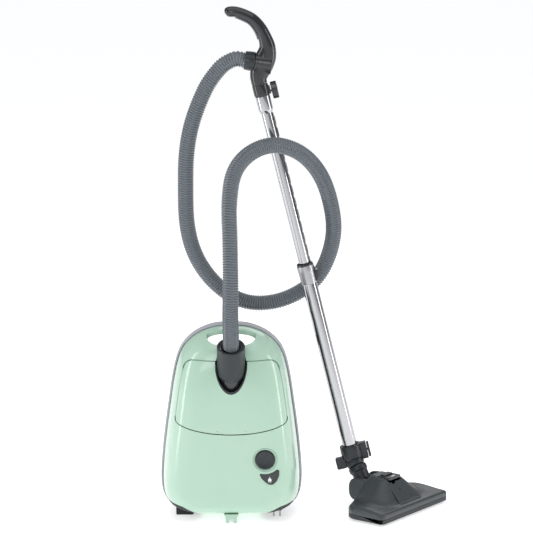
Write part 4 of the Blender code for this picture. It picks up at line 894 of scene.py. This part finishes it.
def make_lower_shell():
    shell = pillow("chassis", 0.0, DARK, front=False)
    inner = pillow("chassis_inner", BODY_WALL, DARK)
    skins = (Skin(shell), Skin(inner))
    cut(inner, handle_hole("tunnel", HOLE_WALL, 0.2))
    cut(shell, inner)
    cut(shell, handle_hole("finger_hole", 0.0, 0.2))
    shade_like(shell, *skins)
    add(shell, "machine", "lower_shell")
    for label, (x, z) in zip(CASTER_NAMES, CASTERS):
        boss = lathe("boss_" + label, Vector((x, BACK_DEPTH - 0.020, z)), Y_AXIS,
                     [(0.0053, 0.0225), (0.020, 0.0225), (0.0215, 0.012), (0.0215, 0.0), (0.0053, 0.0)],
                     DARK, ring=True)
        add(boss, "machine")
    for x, label in ((-0.090, "left"), (0.090, "right")):
        foot = slab("rear_foot_" + label, (x - 0.012, 0.012, 0.0), (x + 0.012, 0.044, 0.0165), RUBBER, 0.0016)
        add(foot, "machine", slot="dark_matte")
    for k in range(7):
        z = 0.150 + 0.014 * k
        rib = slab("vent_rib_%d" % k, (-0.046, BACK_DEPTH - 0.0015, z),
                   (0.046, BACK_DEPTH + 0.0008, z + 0.0045), DARK)
        add(rib, "machine")


def make_belt():
    """Soft guard round the parting line, open at the rear end, with woven threads."""
    outer = body_outline(-BELT_PROUD)
    inner = body_outline(-GAP)
    n = len(outer)
    start = next(i for i in range(n) if outer[i][1] < 0.030 and outer[i][0] > 0.10)
    stop = next(i for i in reversed(range(n)) if outer[i][1] < 0.030 and outer[i][0] < -0.10)
    path = []
    i = stop
    while i != start:
        path.append(i)
        i = (i + 1) % n
    path.append(start)
    half = (BELT_BACK_Y - BELT_FRONT_Y) / 2
    middle = (BELT_BACK_Y + BELT_FRONT_Y) / 2
    section = [(0.0, -half)]
    for k in range(13):
        a = math.pi * k / 12
        section.append((0.35 + 0.65 * math.sin(a) ** 0.35, -half * math.cos(a)))
    section.append((0.0, half))
    rings = []
    for i in path:
        (xo, zo), (xi, zi) = outer[i], inner[i]
        rings.append([Vector((xi + (xo - xi) * out, middle + across, zi + (zo - zi) * out))
                      for out, across in section])
    belt = loft("belt", rings, BELT, sharp=50.0)
    layer = belt.data.uv_layers.new(name="run")
    count = len(section)
    travelled = [0.0]
    for a, b in zip(rings, rings[1:]):
        travelled.append(travelled[-1] + (a[0] - b[0]).length)
    for loop in belt.data.loops:
        row, column = divmod(loop.vertex_index, count)
        layer.data[loop.index].uv = (travelled[row], section[column][1])
    banded(BELT, 160.0, "X", 0.25, "UV")
    banded(BELT, 160.0, "Y", 0.25, "UV")
    add(belt, "machine", "bumper_belt")


# ---------------------------------------------------------------- hose, cuffs and handle
def make_hose():
    end = BRANCH_CENTRE + BRANCH_DIR * (0.0225 + GAP)
    start = CUFF_RIM - INLET_AXIS * (0.0055 - GAP)
    lead_in = start + INLET_AXIS * 0.030
    lead_out = end + BRANCH_DIR * 0.020
    coarse = [start, *curve_points([lead_in, *HOSE_ROUTE, lead_out], 60, False), end]
    length = sum((b - a).length for a, b in zip(coarse, coarse[1:]))
    count = int(length / HOSE_PITCH) * HOSE_RINGS_PER_PITCH
    centres = curve_points(coarse, count + 1, False)
    side = X_AXIS
    rings = []
    for i, centre in enumerate(centres):
        ahead = centres[min(i + 1, count)]
        behind = centres[max(i - 1, 0)]
        tangent = (ahead - behind).normalized()
        side = (side - tangent * side.dot(tangent)).normalized()
        other = tangent.cross(side)
        ring = []
        for k in range(HOSE_SEGMENTS):
            turn = k / HOSE_SEGMENTS
            phase = (i / HOSE_RINGS_PER_PITCH + turn) % 1.0
            ridge = 0.5 + 0.5 * math.cos(2 * math.pi * phase)
            radius = HOSE_VALLEY_R + (HOSE_R - HOSE_VALLEY_R) * ridge ** 0.7
            angle = 2 * math.pi * turn
            ring.append(centre + (side * math.cos(angle) + other * math.sin(angle)) * radius)
        rings.append(ring)
    hose = loft("hose_tube", rings, HOSE_GREY, sharp=80.0)
    hose.location = SHIFT
    bpy.context.view_layer.update()
    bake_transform(hose)
    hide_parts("hose")
    print("hose length", round(length, 4))


def make_hose_cuff():
    profile = [(CUFF_R - 0.0012, 0.0), (CUFF_R, 0.0015), (CUFF_R, CUFF_BELL_LENGTH - 0.010),
               (CUFF_R - 0.0020, CUFF_BELL_LENGTH), (0.0262, CUFF_BELL_LENGTH), (0.0262, 0.0)]
    cuff = lathe("cuff", CUFF_RIM, -INLET_AXIS, profile, SATIN, 64, ring=True)
    add(cuff, "canister_cuff", "hose_cuff")
    inner = [(CUFF_NECK_R - 0.0030, 0.060), (0.0261, 0.060), (0.0261, CUFF_LENGTH),
             (CUFF_NECK_R - 0.0030, CUFF_LENGTH)]
    add(lathe("cuff_neck", CUFF_RIM, -INLET_AXIS, inner, BLACK, 64, ring=True), "canister_cuff",
        slot="dark_matte")
    funnel = [(HOSE_R + 0.0004, 0.0058), (0.0215, 0.0035), (0.0262, 0.0006), (0.0262, 0.0100),
              (HOSE_R + 0.0004, 0.0100)]
    ring = lathe("cuff_funnel", CUFF_RIM, -INLET_AXIS, funnel, BLACK, 64, ring=True)
    add(ring, "canister_cuff", slot="dark_matte")


def make_handle():
    stations = smooth_values(GRIP, 90)
    centres = [Vector((x, WAND_ROOT.y, z)) for x, z, _, _ in stations]
    count = 40
    rings = []
    for i, (_, _, a, b) in enumerate(stations):
        tangent = (centres[min(i + 1, len(centres) - 1)] - centres[max(i - 1, 0)]).normalized()
        side = Y_AXIS.cross(tangent).normalized()
        rings.append([centres[i] + side * a * math.cos(2 * math.pi * k / count)
                      + Y_AXIS * b * math.sin(2 * math.pi * k / count) for k in range(count)])
    add(loft("handle_grip", rings, BLACK, sharp=60.0), "machine", "handle_body")
    branch = lathe("handle_branch", BRANCH_CENTRE, BRANCH_DIR,
                   [(0.0245, -0.038), (0.0222, -0.020), (0.0208, -0.008), (0.0206, 0.0)], BLACK, soften=0.002)
    add(branch, "machine")
    strip = []
    for i in range(17):
        x, z, a, _ = smooth_values(GRIP, 57)[12 + i]
        x1, z1 = smooth_values(GRIP, 57)[13 + i][:2]
        x0, z0 = smooth_values(GRIP, 57)[11 + i][:2]
        out = Y_AXIS.cross(Vector((x1 - x0, 0.0, z1 - z0)).normalized()).normalized()
        base = Vector((x, WAND_ROOT.y, z)) + out * (a - 0.0012)
        ends = min(1.0, (i + 0.4) / 2.4, (16.4 - i) / 2.4) ** 0.5
        strip.append([base + out * (0.0036 * math.cos(math.radians(t)))
                      + Y_AXIS * (0.0085 * ends * math.sin(math.radians(t)))
                      for t in range(-90, 91, 15)])
    add(loft("grip_strip", strip, INSERT, sharp=60.0), "machine", "handle_insert")
    profile = [(HOSE_R - 0.0025, 0.0003), (0.0205, 0.0003), (0.0215, 0.0015), (0.0215, 0.0125),
               (0.0205, 0.0225), (HOSE_R - 0.0025, 0.0225)]
    cuff = lathe("branch_cuff", BRANCH_CENTRE, BRANCH_DIR, profile, SATIN, ring=True)
    add(cuff, "handle_cuff", "handle_hose_cuff")


# ---------------------------------------------------------------- wand
def wand_point(t):
    return WAND_ROOT + WAND_DIR * t


def make_wand():
    def turned(name, profile, mat, body, slot, *nodes, soften=0.0005):
        return add(lathe(name, WAND_ROOT, WAND_DIR, profile, mat, 64, ring=True, soften=soften), body,
                   *nodes, slot=slot)

    low, high = 0.8540, 0.8795
    turned("collar", [(INNER_R + GAP, low), (0.0172, low), (0.0178, low + 0.003), (0.0178, high),
                      (INNER_R + GAP, high)],
           BLACK, "machine", "black_gloss", "handle_collar")
    pod = block("collar_pod", wand_point(0.8640) + WAND_SIDE * 0.0183, WAND_DIR, Y_AXIS, WAND_SIDE,
                (0.0190, 0.0150, 0.0046), BLACK, 0.003)
    add(pod, "machine")
    outline = [(0.0195 * math.cos(2 * math.pi * k / 48),
                0.0085 * math.sin(2 * math.pi * k / 48)) for k in range(48)]
    seat = wand_point(LOCK_ALONG) + WAND_SIDE * LOCK_FACE
    button = prism("lock_button", outline, seat, WAND_DIR, Y_AXIS, WAND_SIDE, 0.0, LOCK_THICK - 0.0006, BLACK)
    add(lathe("lock_stem", seat, WAND_SIDE, [(0.0025, -0.0026), (0.0025, 0.001)], BLACK, 24), "handle_lock",
        slot="steel_part")
    add(bevel(button, 0.0016, 4), "handle_lock", "handle_lock_button", slot="steel_part")
    cap = prism("lock_button_cap", [(a * 0.62, b * 0.80) for a, b in outline], seat,
                WAND_DIR, Y_AXIS, WAND_SIDE, 0.0100, LOCK_THICK, CHROME)
    add(bevel(cap, 0.0010, 4), "handle_lock", slot="steel_part")
    turned("sleeve", [(INNER_R + GAP, 0.8140), (0.0136, 0.8140), (0.0164, 0.8220), (0.0164, 0.8536),
                      (INNER_R + GAP, 0.8536)],
           CHROME, "machine", "chrome_tube", "tube_sleeve", soften=0.0012)
    for name, bore, radius, start, end, body, node in (
            ("inner_pipe", INNER_BORE_R, INNER_R, INNER_START, INNER_END, "machine", "inner_tube"),
            ("outer_pipe", OUTER_BORE_R, OUTER_R, OUTER_START, OUTER_END, "lower_wand", "outer_tube")):
        profile = [(bore, start), (radius, start), (radius, end), (bore, end)]
        turned(name, profile, CHROME, body, "chrome_tube", node)
    make_rail()
    clamp = [(OUTER_R + GAP, 0.4180), (0.0182, 0.4180), (0.0186, 0.4450), (0.0192, 0.4460), (0.0192, 0.4590),
             (0.0182, 0.4600), (OUTER_R + GAP, 0.4600)]
    turned("clamp", clamp, STEEL, "lower_wand", "steel_part", "tube_clamp")
    lip = [(OUTER_R + GAP, 0.4600), (0.0186, 0.4600), (0.0182, 0.4640), (INNER_R + 0.0035, 0.4650),
           (INNER_R + 0.0035, 0.4600)]
    turned("clamp_lip", lip, BLACK, "lower_wand", "black_gloss")
    slider = block("slider", wand_point(0.4350) + WAND_SIDE * 0.0228, WAND_DIR, Y_AXIS, WAND_SIDE,
                   (0.0200, 0.0150, 0.0066), BLACK, 0.0035, 0.0010)
    add(slider, "tube_slider", "tube_slider_button")
    track = block("slider_track", wand_point(0.4360) + WAND_SIDE * 0.0186, WAND_DIR, Y_AXIS, WAND_SIDE,
                  (0.0340, 0.0170, 0.0022), BLACK, 0.004)
    add(track, "lower_wand")


def make_rail():
    low, high = INNER_START + 0.004, 0.8120
    pitch = (high - low) / RAIL_TEETH
    base = INNER_R + GAP
    outline = [(base, low)]
    for k in range(RAIL_TEETH):
        a = low + pitch * k
        outline += [(RAIL_TOP_R, a + pitch * 0.02), (RAIL_TOP_R, a + pitch * 0.68),
                    (base + 0.0011, a + pitch * 0.70), (base + 0.0011, a + pitch * 0.98)]
    outline += [(base + 0.0011, high), (base, high)]
    rail = prism("latch_rail", outline, WAND_ROOT, WAND_SIDE, WAND_DIR, Y_AXIS, -RAIL_HALF_Y, RAIL_HALF_Y,
                 RAIL)
    add(bevel(rail, 0.0003, 2), "machine", "tooth_rail")


# ---------------------------------------------------------------- elbow, neck and floor head
def make_elbow():
    cuff = lathe("elbow_sleeve", WAND_ROOT, WAND_DIR,
                 [(0.0130, -0.0100), (0.0236, 0.0050), (0.0243, 0.020), (0.0240, ELBOW_TOP),
                  (OUTER_R + GAP, ELBOW_TOP),
                  (OUTER_R + GAP, OUTER_START - GAP), (0.0100, OUTER_START - GAP), (0.0100, -0.010)],
                 SATIN, 64, ring=True, soften=0.0016)
    add(cuff, "lower_wand", "elbow_cuff")
    ball = lathe("elbow_ball", WAND_ROOT - NECK_DIR * 0.018, NECK_DIR,
                 [(0.0180, 0.0), (0.0205, 0.004), (0.0215, 0.014), (0.0190, 0.024), (0.012, 0.030)],
                 SATIN, 64, soften=0.003)
    add(ball, "lower_wand")
    horn = block("elbow_horn", wand_point(-0.0030) - WAND_SIDE * 0.0290, WAND_SIDE, WAND_DIR, Y_AXIS,
                 (0.022, 0.026, 0.016), SATIN, 0.004, 0.0014)
    add(horn, "lower_wand")
    pod = block("latch_pod", wand_point(LATCH_ALONG) + WAND_SIDE * 0.0280, WAND_DIR, Y_AXIS, WAND_SIDE,
                (0.0380, 0.0200, 0.0140), SATIN, 0.004, 0.0012)
    add(pod, "lower_wand")
    latch = block("latch_button", wand_point(LATCH_ALONG) + WAND_SIDE * (LATCH_FACE + 0.0025), WAND_DIR,
                  Y_AXIS,
                  WAND_SIDE, (0.0340, 0.0170, 0.0050), SATIN, 0.004, 0.0012)
    add(latch, "elbow_latch", "elbow_latch")
    stem = lathe("latch_stem", wand_point(LATCH_ALONG) + WAND_SIDE * LATCH_FACE, WAND_SIDE,
                 [(0.0025, -0.0037), (0.0025, 0.001)], SATIN, 24)
    add(stem, "elbow_latch")


def make_neck():
    tube = lathe("neck_tube", WAND_ROOT, NECK_DIR,
                 [(0.0200, -0.0183), (0.0212, -0.0215), (0.0212, -0.0300), (0.0185, -0.0330),
                  (0.0180, -0.052),
                  (0.0145, -0.062)], SATIN, 64, soften=0.0015)
    add(tube, "neck", "neck")
    barrel = lathe("tilt_barrel", PIVOT - HEAD_SIDE * 0.030, HEAD_SIDE, [(0.0185, 0.0), (0.0185, 0.060)],
                   SATIN, 64, soften=0.0015)
    add(barrel, "neck")


def head_point(fwd, side, z):
    return HEAD_CENTRE + HEAD_FWD * fwd + HEAD_SIDE * side + UP * z


def head_outline(grow=0.0):
    """Plan view of the floor head in (forward, side)."""
    w, f, r = HEAD_HALF_WIDTH + grow, HEAD_FRONT + grow, HEAD_REAR - grow
    corners = [(f, -w + 0.006), (f, w - 0.006), (f - 0.006, w), (r + 0.030, w), (r + 0.012, w - 0.012),
               (r, w - 0.048), (r, -w + 0.048), (r + 0.012, -w + 0.012), (r + 0.030, -w), (f - 0.006, -w)]
    pts = []
    smooth = rounded(corners, 0.006, steps=4)
    for i, a in enumerate(smooth):
        b = Vector(smooth[(i + 1) % len(smooth)])
        pieces = max(1, round((b - Vector(a)).length / 0.008))
        pts += [tuple(Vector(a).lerp(b, k / pieces)) for k in range(pieces)]
    return pts


def ease(x):
    x = min(max(x, 0.0), 1.0)
    return x * x * (3 - 2 * x)


def hood_height(fwd, side):
    """Top of the hood: low along the front edge and at the ends, humped over the middle of the back."""
    rise = ease((0.048 - fwd) / 0.066)
    middle = ease((0.090 - abs(side)) / 0.074)
    return HOOD_FRONT_Z + rise * (HOOD_END_Z - HOOD_FRONT_Z + (HOOD_TOP_Z - HOOD_END_Z) * middle)


def hood_solid(name):
    """Closed hood: straight rim, rounded edge, then the humped top as shrinking outlines."""
    outline = head_outline()
    rims = ((HEAD_SPLIT_Z + GAP, -0.0006), (HEAD_SPLIT_Z + 0.0009, 0.0), (HOOD_EDGE_Z, 0.0))
    rings = [[head_point(f, s, z) for f, s in head_outline(grow)] for z, grow in rims]
    scales = [1 - 0.10 * (1 - math.cos(math.radians(11.25 * k))) for k in range(1, 9)]
    scales += [0.87, 0.83, 0.79, 0.74, 0.69, 0.64, 0.59, 0.54, 0.49, 0.43, 0.37, 0.30, 0.22, 0.13, 0.04]
    for scale in scales:
        round_over = math.sqrt(max(0.0, 1 - max(0.0, (scale - 0.90) / 0.10) ** 2))
        ring = []
        for f, s in outline:
            top = hood_height(f * scale, s * scale)
            ring.append(head_point(f * scale, s * scale, HOOD_EDGE_Z + (top - HOOD_EDGE_Z) * round_over))
        rings.append(ring)
    return triangulated(loft(name, rings, HEAD_GREY))


def head_rings(name, levels, mat):
    rings = []
    for z, grow in levels:
        rings.append([head_point(f, s, z) for f, s in head_outline(grow)])
    return loft(name, rings, mat, sharp=45.0)


def head_block(name, fwd, side, z, size, mat=DARK, corner=0.0, edge=0.0007):
    return block(name, head_point(fwd, side, z), HEAD_FWD, HEAD_SIDE, UP, size, mat, corner, edge)


def make_head():
    base = head_rings("sole", ((0.0040, -0.0040), (0.0048, -0.0018), (0.0060, 0.0), (HEAD_SPLIT_Z, 0.0)),
                      DARK)
    cutters = [head_block("mouth", 0.0, 0.0, 0.0, (0.034, 0.200, 0.06), corner=0.004)]
    cutters += [head_block("slot", fwd, 0.0, 0.0, (0.0086, 0.222, 0.08)) for fwd in (0.036, -0.030)]
    cutters += [head_block("well", -0.0470, side * 0.052, 0.0, (0.0250, 0.0130, 0.08)) for side in (-1, 1)]
    for cutter in cutters:
        cutter.modifiers.clear()
    cut(base, *cutters)
    shade_like(base)
    add(base, "floor_head", "head_base")
    line = head_rings("split_line", ((HEAD_SPLIT_Z - 0.0008, -0.0012), (HEAD_SPLIT_Z + 0.0012, -0.0012)),
                      RUBBER)
    cutter = head_block("line_inner", 0.0, 0.0, HEAD_SPLIT_Z, (0.100, 0.226, 0.02))
    cutter.modifiers.clear()
    cut(line, cutter)
    add(line, "floor_head")
    make_hood()
    make_head_parts()


def make_hood():
    """Humped hood with the pedal well, and the raised cover plate with its slot and screw."""
    hood = hood_solid("hood")
    skins = (Skin(hood),)
    tools = [head_block("pedal_well", -0.0180, 0.0, 0.0850, (0.0364, 0.0444, 0.0320), corner=0.004),
             head_block("inside", 0.0, 0.0, 0.0155, (0.100, 0.226, 0.0120)),
             lathe("barrel", PIVOT - HEAD_SIDE * 0.0303, HEAD_SIDE, [(0.0195, 0.0), (0.0195, 0.0606)], DARK,
                   64,
                   soften=0.0)]
    for tool in tools:
        tool.modifiers.clear()
    cut(hood, *tools)
    shade_like(hood, *skins)
    add(hood, "floor_head", "head_top")
    for side, label in ((-1, "left"), (1, "right")):
        cheek = block("yoke_" + label, head_point(-0.0700, side * 0.0355, 0.0440), HEAD_FWD, UP, HEAD_SIDE,
                      (0.062, 0.0520, 0.0100), HEAD_GREY, 0.024, 0.0022)
        add(cheek, "floor_head")
    corners = [(0.0440, -0.0400), (0.0440, 0.0400), (0.0030, 0.0290), (0.0030, -0.0290)]
    plate = on_hood("cover_plate", rounded(corners, 0.005), 0.0010, HEAD_GREY)
    add(plate, "floor_head")
    slot = on_hood("plate_slot", rounded([(0.0330, -0.0150), (0.0330, 0.0170), (0.0280, 0.0170),
                                          (0.0280, -0.0150)],
                                         0.0016), 0.0014, RUBBER)
    add(slot, "floor_head")
    ring = [(0.0160 + 0.0026 * math.cos(math.pi * k / 12), -0.0060 + 0.0026 * math.sin(math.pi * k / 12))
            for k in range(24)]
    add(on_hood("plate_screw", ring, 0.0014, RUBBER), "floor_head")


def on_hood(name, outline, proud, mat):
    """Thin plate that follows the hood's slope."""
    centre = sum((Vector(p) for p in outline), Vector((0.0, 0.0))) / len(outline)
    rings = []
    for scale, lift in ((1.0, -0.0012), (1.0, proud * 0.5), (0.985, proud), (0.8, proud), (0.6, proud),
                        (0.4, proud),
                        (0.2, proud), (0.02, proud)):
        ring = []
        for corner in outline:
            f, s = centre + (Vector(corner) - centre) * scale
            ring.append(head_point(f, s, hood_height(f, s) + lift))
        rings.append(ring)
    return loft(name, rings, mat, sharp=45.0)


def make_head_parts():
    pedal = head_block("rocker_pedal", -0.0180, 0.0, PEDAL_Z, (0.0340, 0.0420, 0.0060), BLACK, 0.003, 0.0012)
    add(pedal, "head_pedal", "head_pedal", slot="dark_matte")
    hump = head_block("rocker_hump", -0.0260, 0.0, PEDAL_Z + 0.0035, (0.0140, 0.0300, 0.0050), BLACK, 0.003,
                      0.0012)
    add(hump, "head_pedal", slot="dark_matte")
    mark = head_block("pedal_mark", -0.0080, 0.0, PEDAL_Z + 0.00312, (0.0040, 0.0130, 0.0004), WHITE, 0.001,
                      0.0001)
    add(mark, "head_pedal")
    for label, fwd in (("front", 0.036), ("rear", -0.030)):
        make_brush(label, fwd)
    for label, side in (("left", -1), ("right", 1)):
        centre = head_point(-0.0470, side * 0.052, 0.0085)
        profile = [(0.0020, 0.0), (0.0062, 0.0), (0.0064, 0.0008), (0.0078, 0.0), (0.0085, 0.001),
                   (0.0085, 0.010),
                   (0.0078, 0.011), (0.0064, 0.0102), (0.0062, 0.011), (0.0020, 0.011)]
        wheel = lathe("sole_wheel_" + label, centre - HEAD_SIDE * 0.0055, HEAD_SIDE, profile, RUBBER, 40,
                      ring=True)
        add(wheel, "head_wheel_" + label, "head_wheel_" + label)


def make_brush(label, fwd):
    """Holder bar with rows of short bristle tufts."""
    holder = head_block("brush_bar_" + label, fwd, 0.0, 0.0130, (0.0076, 0.2180, 0.0080), RUBBER, 0.001)
    add(holder, "brush_" + label, "brush_" + label)
    verts, faces = [], []
    for k in range(84):
        for row in range(3):
            side = -0.1075 + 0.2150 * (k + 0.5 * (row % 2)) / 84
            lean = 0.0006 * math.sin(k * 2.4 + row * 1.7)
            place = fwd + (row - 1) * 0.0021
            first = len(verts)
            for z, r, off in ((0.0095, 0.00055, 0.0), (0.0053, 0.00075, lean)):
                for j in range(5):
                    a = 2 * math.pi * j / 5
                    verts.append(head_point(place + off + r * math.cos(a), side + off + r * math.sin(a), z))
            faces += [(first + j, first + (j + 1) % 5, first + 5 + (j + 1) % 5,
                       first + 5 + j) for j in range(5)]
            faces.append(tuple(first + j for j in range(5)))
            faces.append(tuple(first + 9 - j for j in range(5)))
    add(new_object("bristles_" + label, verts, faces, BRISTLE, 60.0), "brush_" + label)


# ---------------------------------------------------------------- controls, plug and casters
def make_controls():
    y = cover_y(BUTTON_X, BUTTON_Z)
    origin = Vector((BUTTON_X, y, BUTTON_Z))
    dish = [(0.0070, -0.0220), (0.0070, -0.0120), (BUTTON_R, -0.0110), (BUTTON_R, 0.0000),
            (BUTTON_R - 0.0012, 0.0016), (BUTTON_R * 0.86, 0.0012), (BUTTON_R * 0.6, 0.0002),
            (BUTTON_R * 0.3, -0.0004)]
    button = lathe("switch_button", origin, -Y_AXIS, dish, SATIN, 64)
    add(button, "power_button", "power_button")
    low, high = BUTTON_R + 0.0005, BUTTON_WELL_R - 2 * GAP
    well = [(low, -0.0130), (low, -0.0045), (high - 0.0040, -0.0024), (high - 0.0012, -0.0004),
            (high, -0.0006),
            (high, -0.0130)]
    add(lathe("switch_ring", origin, -Y_AXIS, well, MINT, 64, ring=True), "machine", "button_ring")
    y = cover_y(0.086, 0.104)
    pedal = prism("rewind_key", rounded(list(PEDAL_OUTLINE), 0.003), Vector(), X_AXIS, UP, Y_AXIS, y - 0.0015,
                  y + 0.0100, BLACK)
    add(bevel(pedal, 0.0011, 4), "rewind_pedal", "rewind_pedal", slot="dark_matte")
    shapes = (
        [(0.0812, 0.1010), (0.0888, 0.1010), (0.0888, 0.1050), (0.0868, 0.1078), (0.0832, 0.1078),
         (0.0812, 0.1050)],
        [(0.0826, 0.0976), (0.0837, 0.0976), (0.0837, 0.1010), (0.0826, 0.1010)],
        [(0.0863, 0.0976), (0.0874, 0.0976), (0.0874, 0.1010), (0.0863, 0.1010)],
        [(0.0844, 0.1078), (0.0856, 0.1078), (0.0856, 0.1112), (0.0844, 0.1112)],
    )
    for k, outline in enumerate(shapes):
        mark = prism("rewind_mark_%d" % k, rounded(outline, 0.0004), Vector(), X_AXIS, UP, Y_AXIS,
                     y - 0.0017, y - 0.0010, WHITE)
        add(mark, "rewind_pedal")


def make_plug():
    outline = [(-0.0090, 0.0), (0.0090, 0.0), (0.0098, 0.006), (0.0098, 0.020), (0.0050, 0.034),
               (-0.0050, 0.034), (-0.0098, 0.020), (-0.0098, 0.006)]
    body = prism("plug_shell", rounded(outline, 0.003), Vector((0.1035, -0.0475, 0.0180)), X_AXIS, UP, Y_AXIS,
                 -0.0115, 0.0115, BLACK)
    add(bevel(body, 0.0018, 4), "plug", "plug_body", slot="dark_matte")
    for label, side in (("left", -1), ("right", 1)):
        origin = Vector((0.1008 + side * 0.0070, -0.0475, 0.0020))
        pin = lathe("pin_" + label, origin, UP, [(0.0016, 0.0), (0.0020, 0.0010), (0.0020, 0.0157)], NICKEL,
                    32,
                    soften=0.0005)
        add(pin, "plug", "prong_" + label)


def make_casters():
    for label, (x, z) in zip(CASTER_NAMES, CASTERS):
        top = Vector((x, BACK_DEPTH + 0.0030, z))
        crown = lathe("crown_" + label, top, Y_AXIS, [(0.0050, -0.0130), (0.0050, 0.0), (0.0190, 0.0001),
                                                     (0.0190, 0.0020), (0.0150, 0.0034)], SATIN, 48)
        add(crown, "fork_" + label, "fork_" + label)
        for side in (-1, 1):
            outline = [(0.0025, 0.006), (0.0025, -0.024), (0.0205, -TRAIL - 0.006), (0.0260, -TRAIL),
                       (0.0205, -TRAIL + 0.006)]
            cheek = prism("cheek_%s_%d" % (label, (side + 1) // 2), rounded(outline, 0.003),
                          top + X_AXIS * side * 0.0095, Y_AXIS, UP, X_AXIS, -0.0015, 0.0015, SATIN)
            add(bevel(cheek, 0.0005), "fork_" + label)
        pin = lathe("axle_" + label, Vector((x - 0.0118, WHEEL_Y, z - TRAIL)), X_AXIS,
                    [(0.0025, 0.0), (0.0025, 0.0236)], STEEL, 24, soften=0.0004)
        add(pin, "fork_" + label, slot="dark_matte")
        profile = [(0.0028, -0.0070), (0.0090, -0.0070), (0.0094, -0.0058), (0.0108, -0.0058),
                   (0.0112, -0.0070),
                   (WHEEL_R - 0.002, -0.0070), (WHEEL_R, -0.0050), (WHEEL_R, 0.0050),
                   (WHEEL_R - 0.002, 0.0070),
                   (0.0112, 0.0070), (0.0108, 0.0058), (0.0094, 0.0058), (0.0090, 0.0070), (0.0028, 0.0070)]
        wheel = lathe("tyre_" + label, Vector((x, WHEEL_Y, z - TRAIL)), X_AXIS, profile, RUBBER, 48,
                      ring=True)
        add(wheel, "wheel_" + label, "wheel_" + label)


# ---------------------------------------------------------------- inside
def make_bag():
    """Filled fleece bag with welded seam and soft folds."""
    rings = []
    for k in range(41):
        t = -1 + k / 20
        z = 0.2640 + 0.0620 * math.copysign(abs(t) ** 0.85, t)
        f = math.sqrt(max(0.0, 1 - abs(t) ** 4.5)) if abs(t) < 1 else 0.0
        hx, hy = 0.026 + 0.062 * f, 0.006 + 0.034 * f
        pts = []
        for j in range(96):
            a = 2 * math.pi * j / 96
            c, s = math.cos(a), math.sin(a)
            fold = 1 - 0.030 * (0.5 + 0.5 * math.sin(9 * a + 5.0 * t)) * (0.35 + 0.65 * abs(t)) * abs(s) ** 0.5
            fold -= 0.014 * (0.5 + 0.5 * math.sin(17 * a - 8.0 * t))
            pts.append(Vector((hx * fold * math.copysign(abs(c) ** 0.7, c),
                               0.026 + hy * fold * math.copysign(abs(s) ** 0.7, s), z)))
        rings.append(pts)
    bag = loft("fleece_bag", rings, FLEECE, sharp=70.0)
    add(bag, "machine", "dust_bag")


def dress(node, mat, edge=0.0004):
    """Keeps a hidden CAD solid, with its real finish and softened edges."""
    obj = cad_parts[node]
    obj.data.materials.clear()
    obj.data.materials.append(mat)
    if edge > 0.0:
        bevel(obj, edge, 2, 50.0)


def make_inside():
    for node in ("bulkhead", "motor_housing", "motor_frame", "cord_reel", "reel_axle", "bag_holder",
                 "switch_bridge",
                 "lid_latch"):
        dress(node, DARK)
    dress("motor_filter", FELT)
    dress("exhaust_filter", FELT)
    dress("motor_stator", COPPER)
    dress("motor_rotor", STEEL)
    dress("lid_hinge_pin", STEEL)
    dress("bag_collar", CARD)
    turns, rows = 9, 28
    profile = [(0.0209, -0.0274)]
    for k in range(rows + 1):
        y = -0.0274 + 0.0548 * k / rows
        profile.append((0.0478 + 0.0024 * abs(math.sin(math.pi * turns * k / rows)), y))
    profile.append((0.0209, 0.0274))
    cord = lathe("cord_pack", REEL_CENTRE, Y_AXIS, profile, RUBBER, 48, ring=True, soften=0.0)
    add(cord, "reel", "wound_cord")


make_camera()
make_studio()
make_hose()
make_hose_cuff()
make_body()
make_controls()
make_handle()
make_wand()
make_elbow()
make_neck()
make_head()
make_plug()
make_casters()
make_bag()
make_inside()
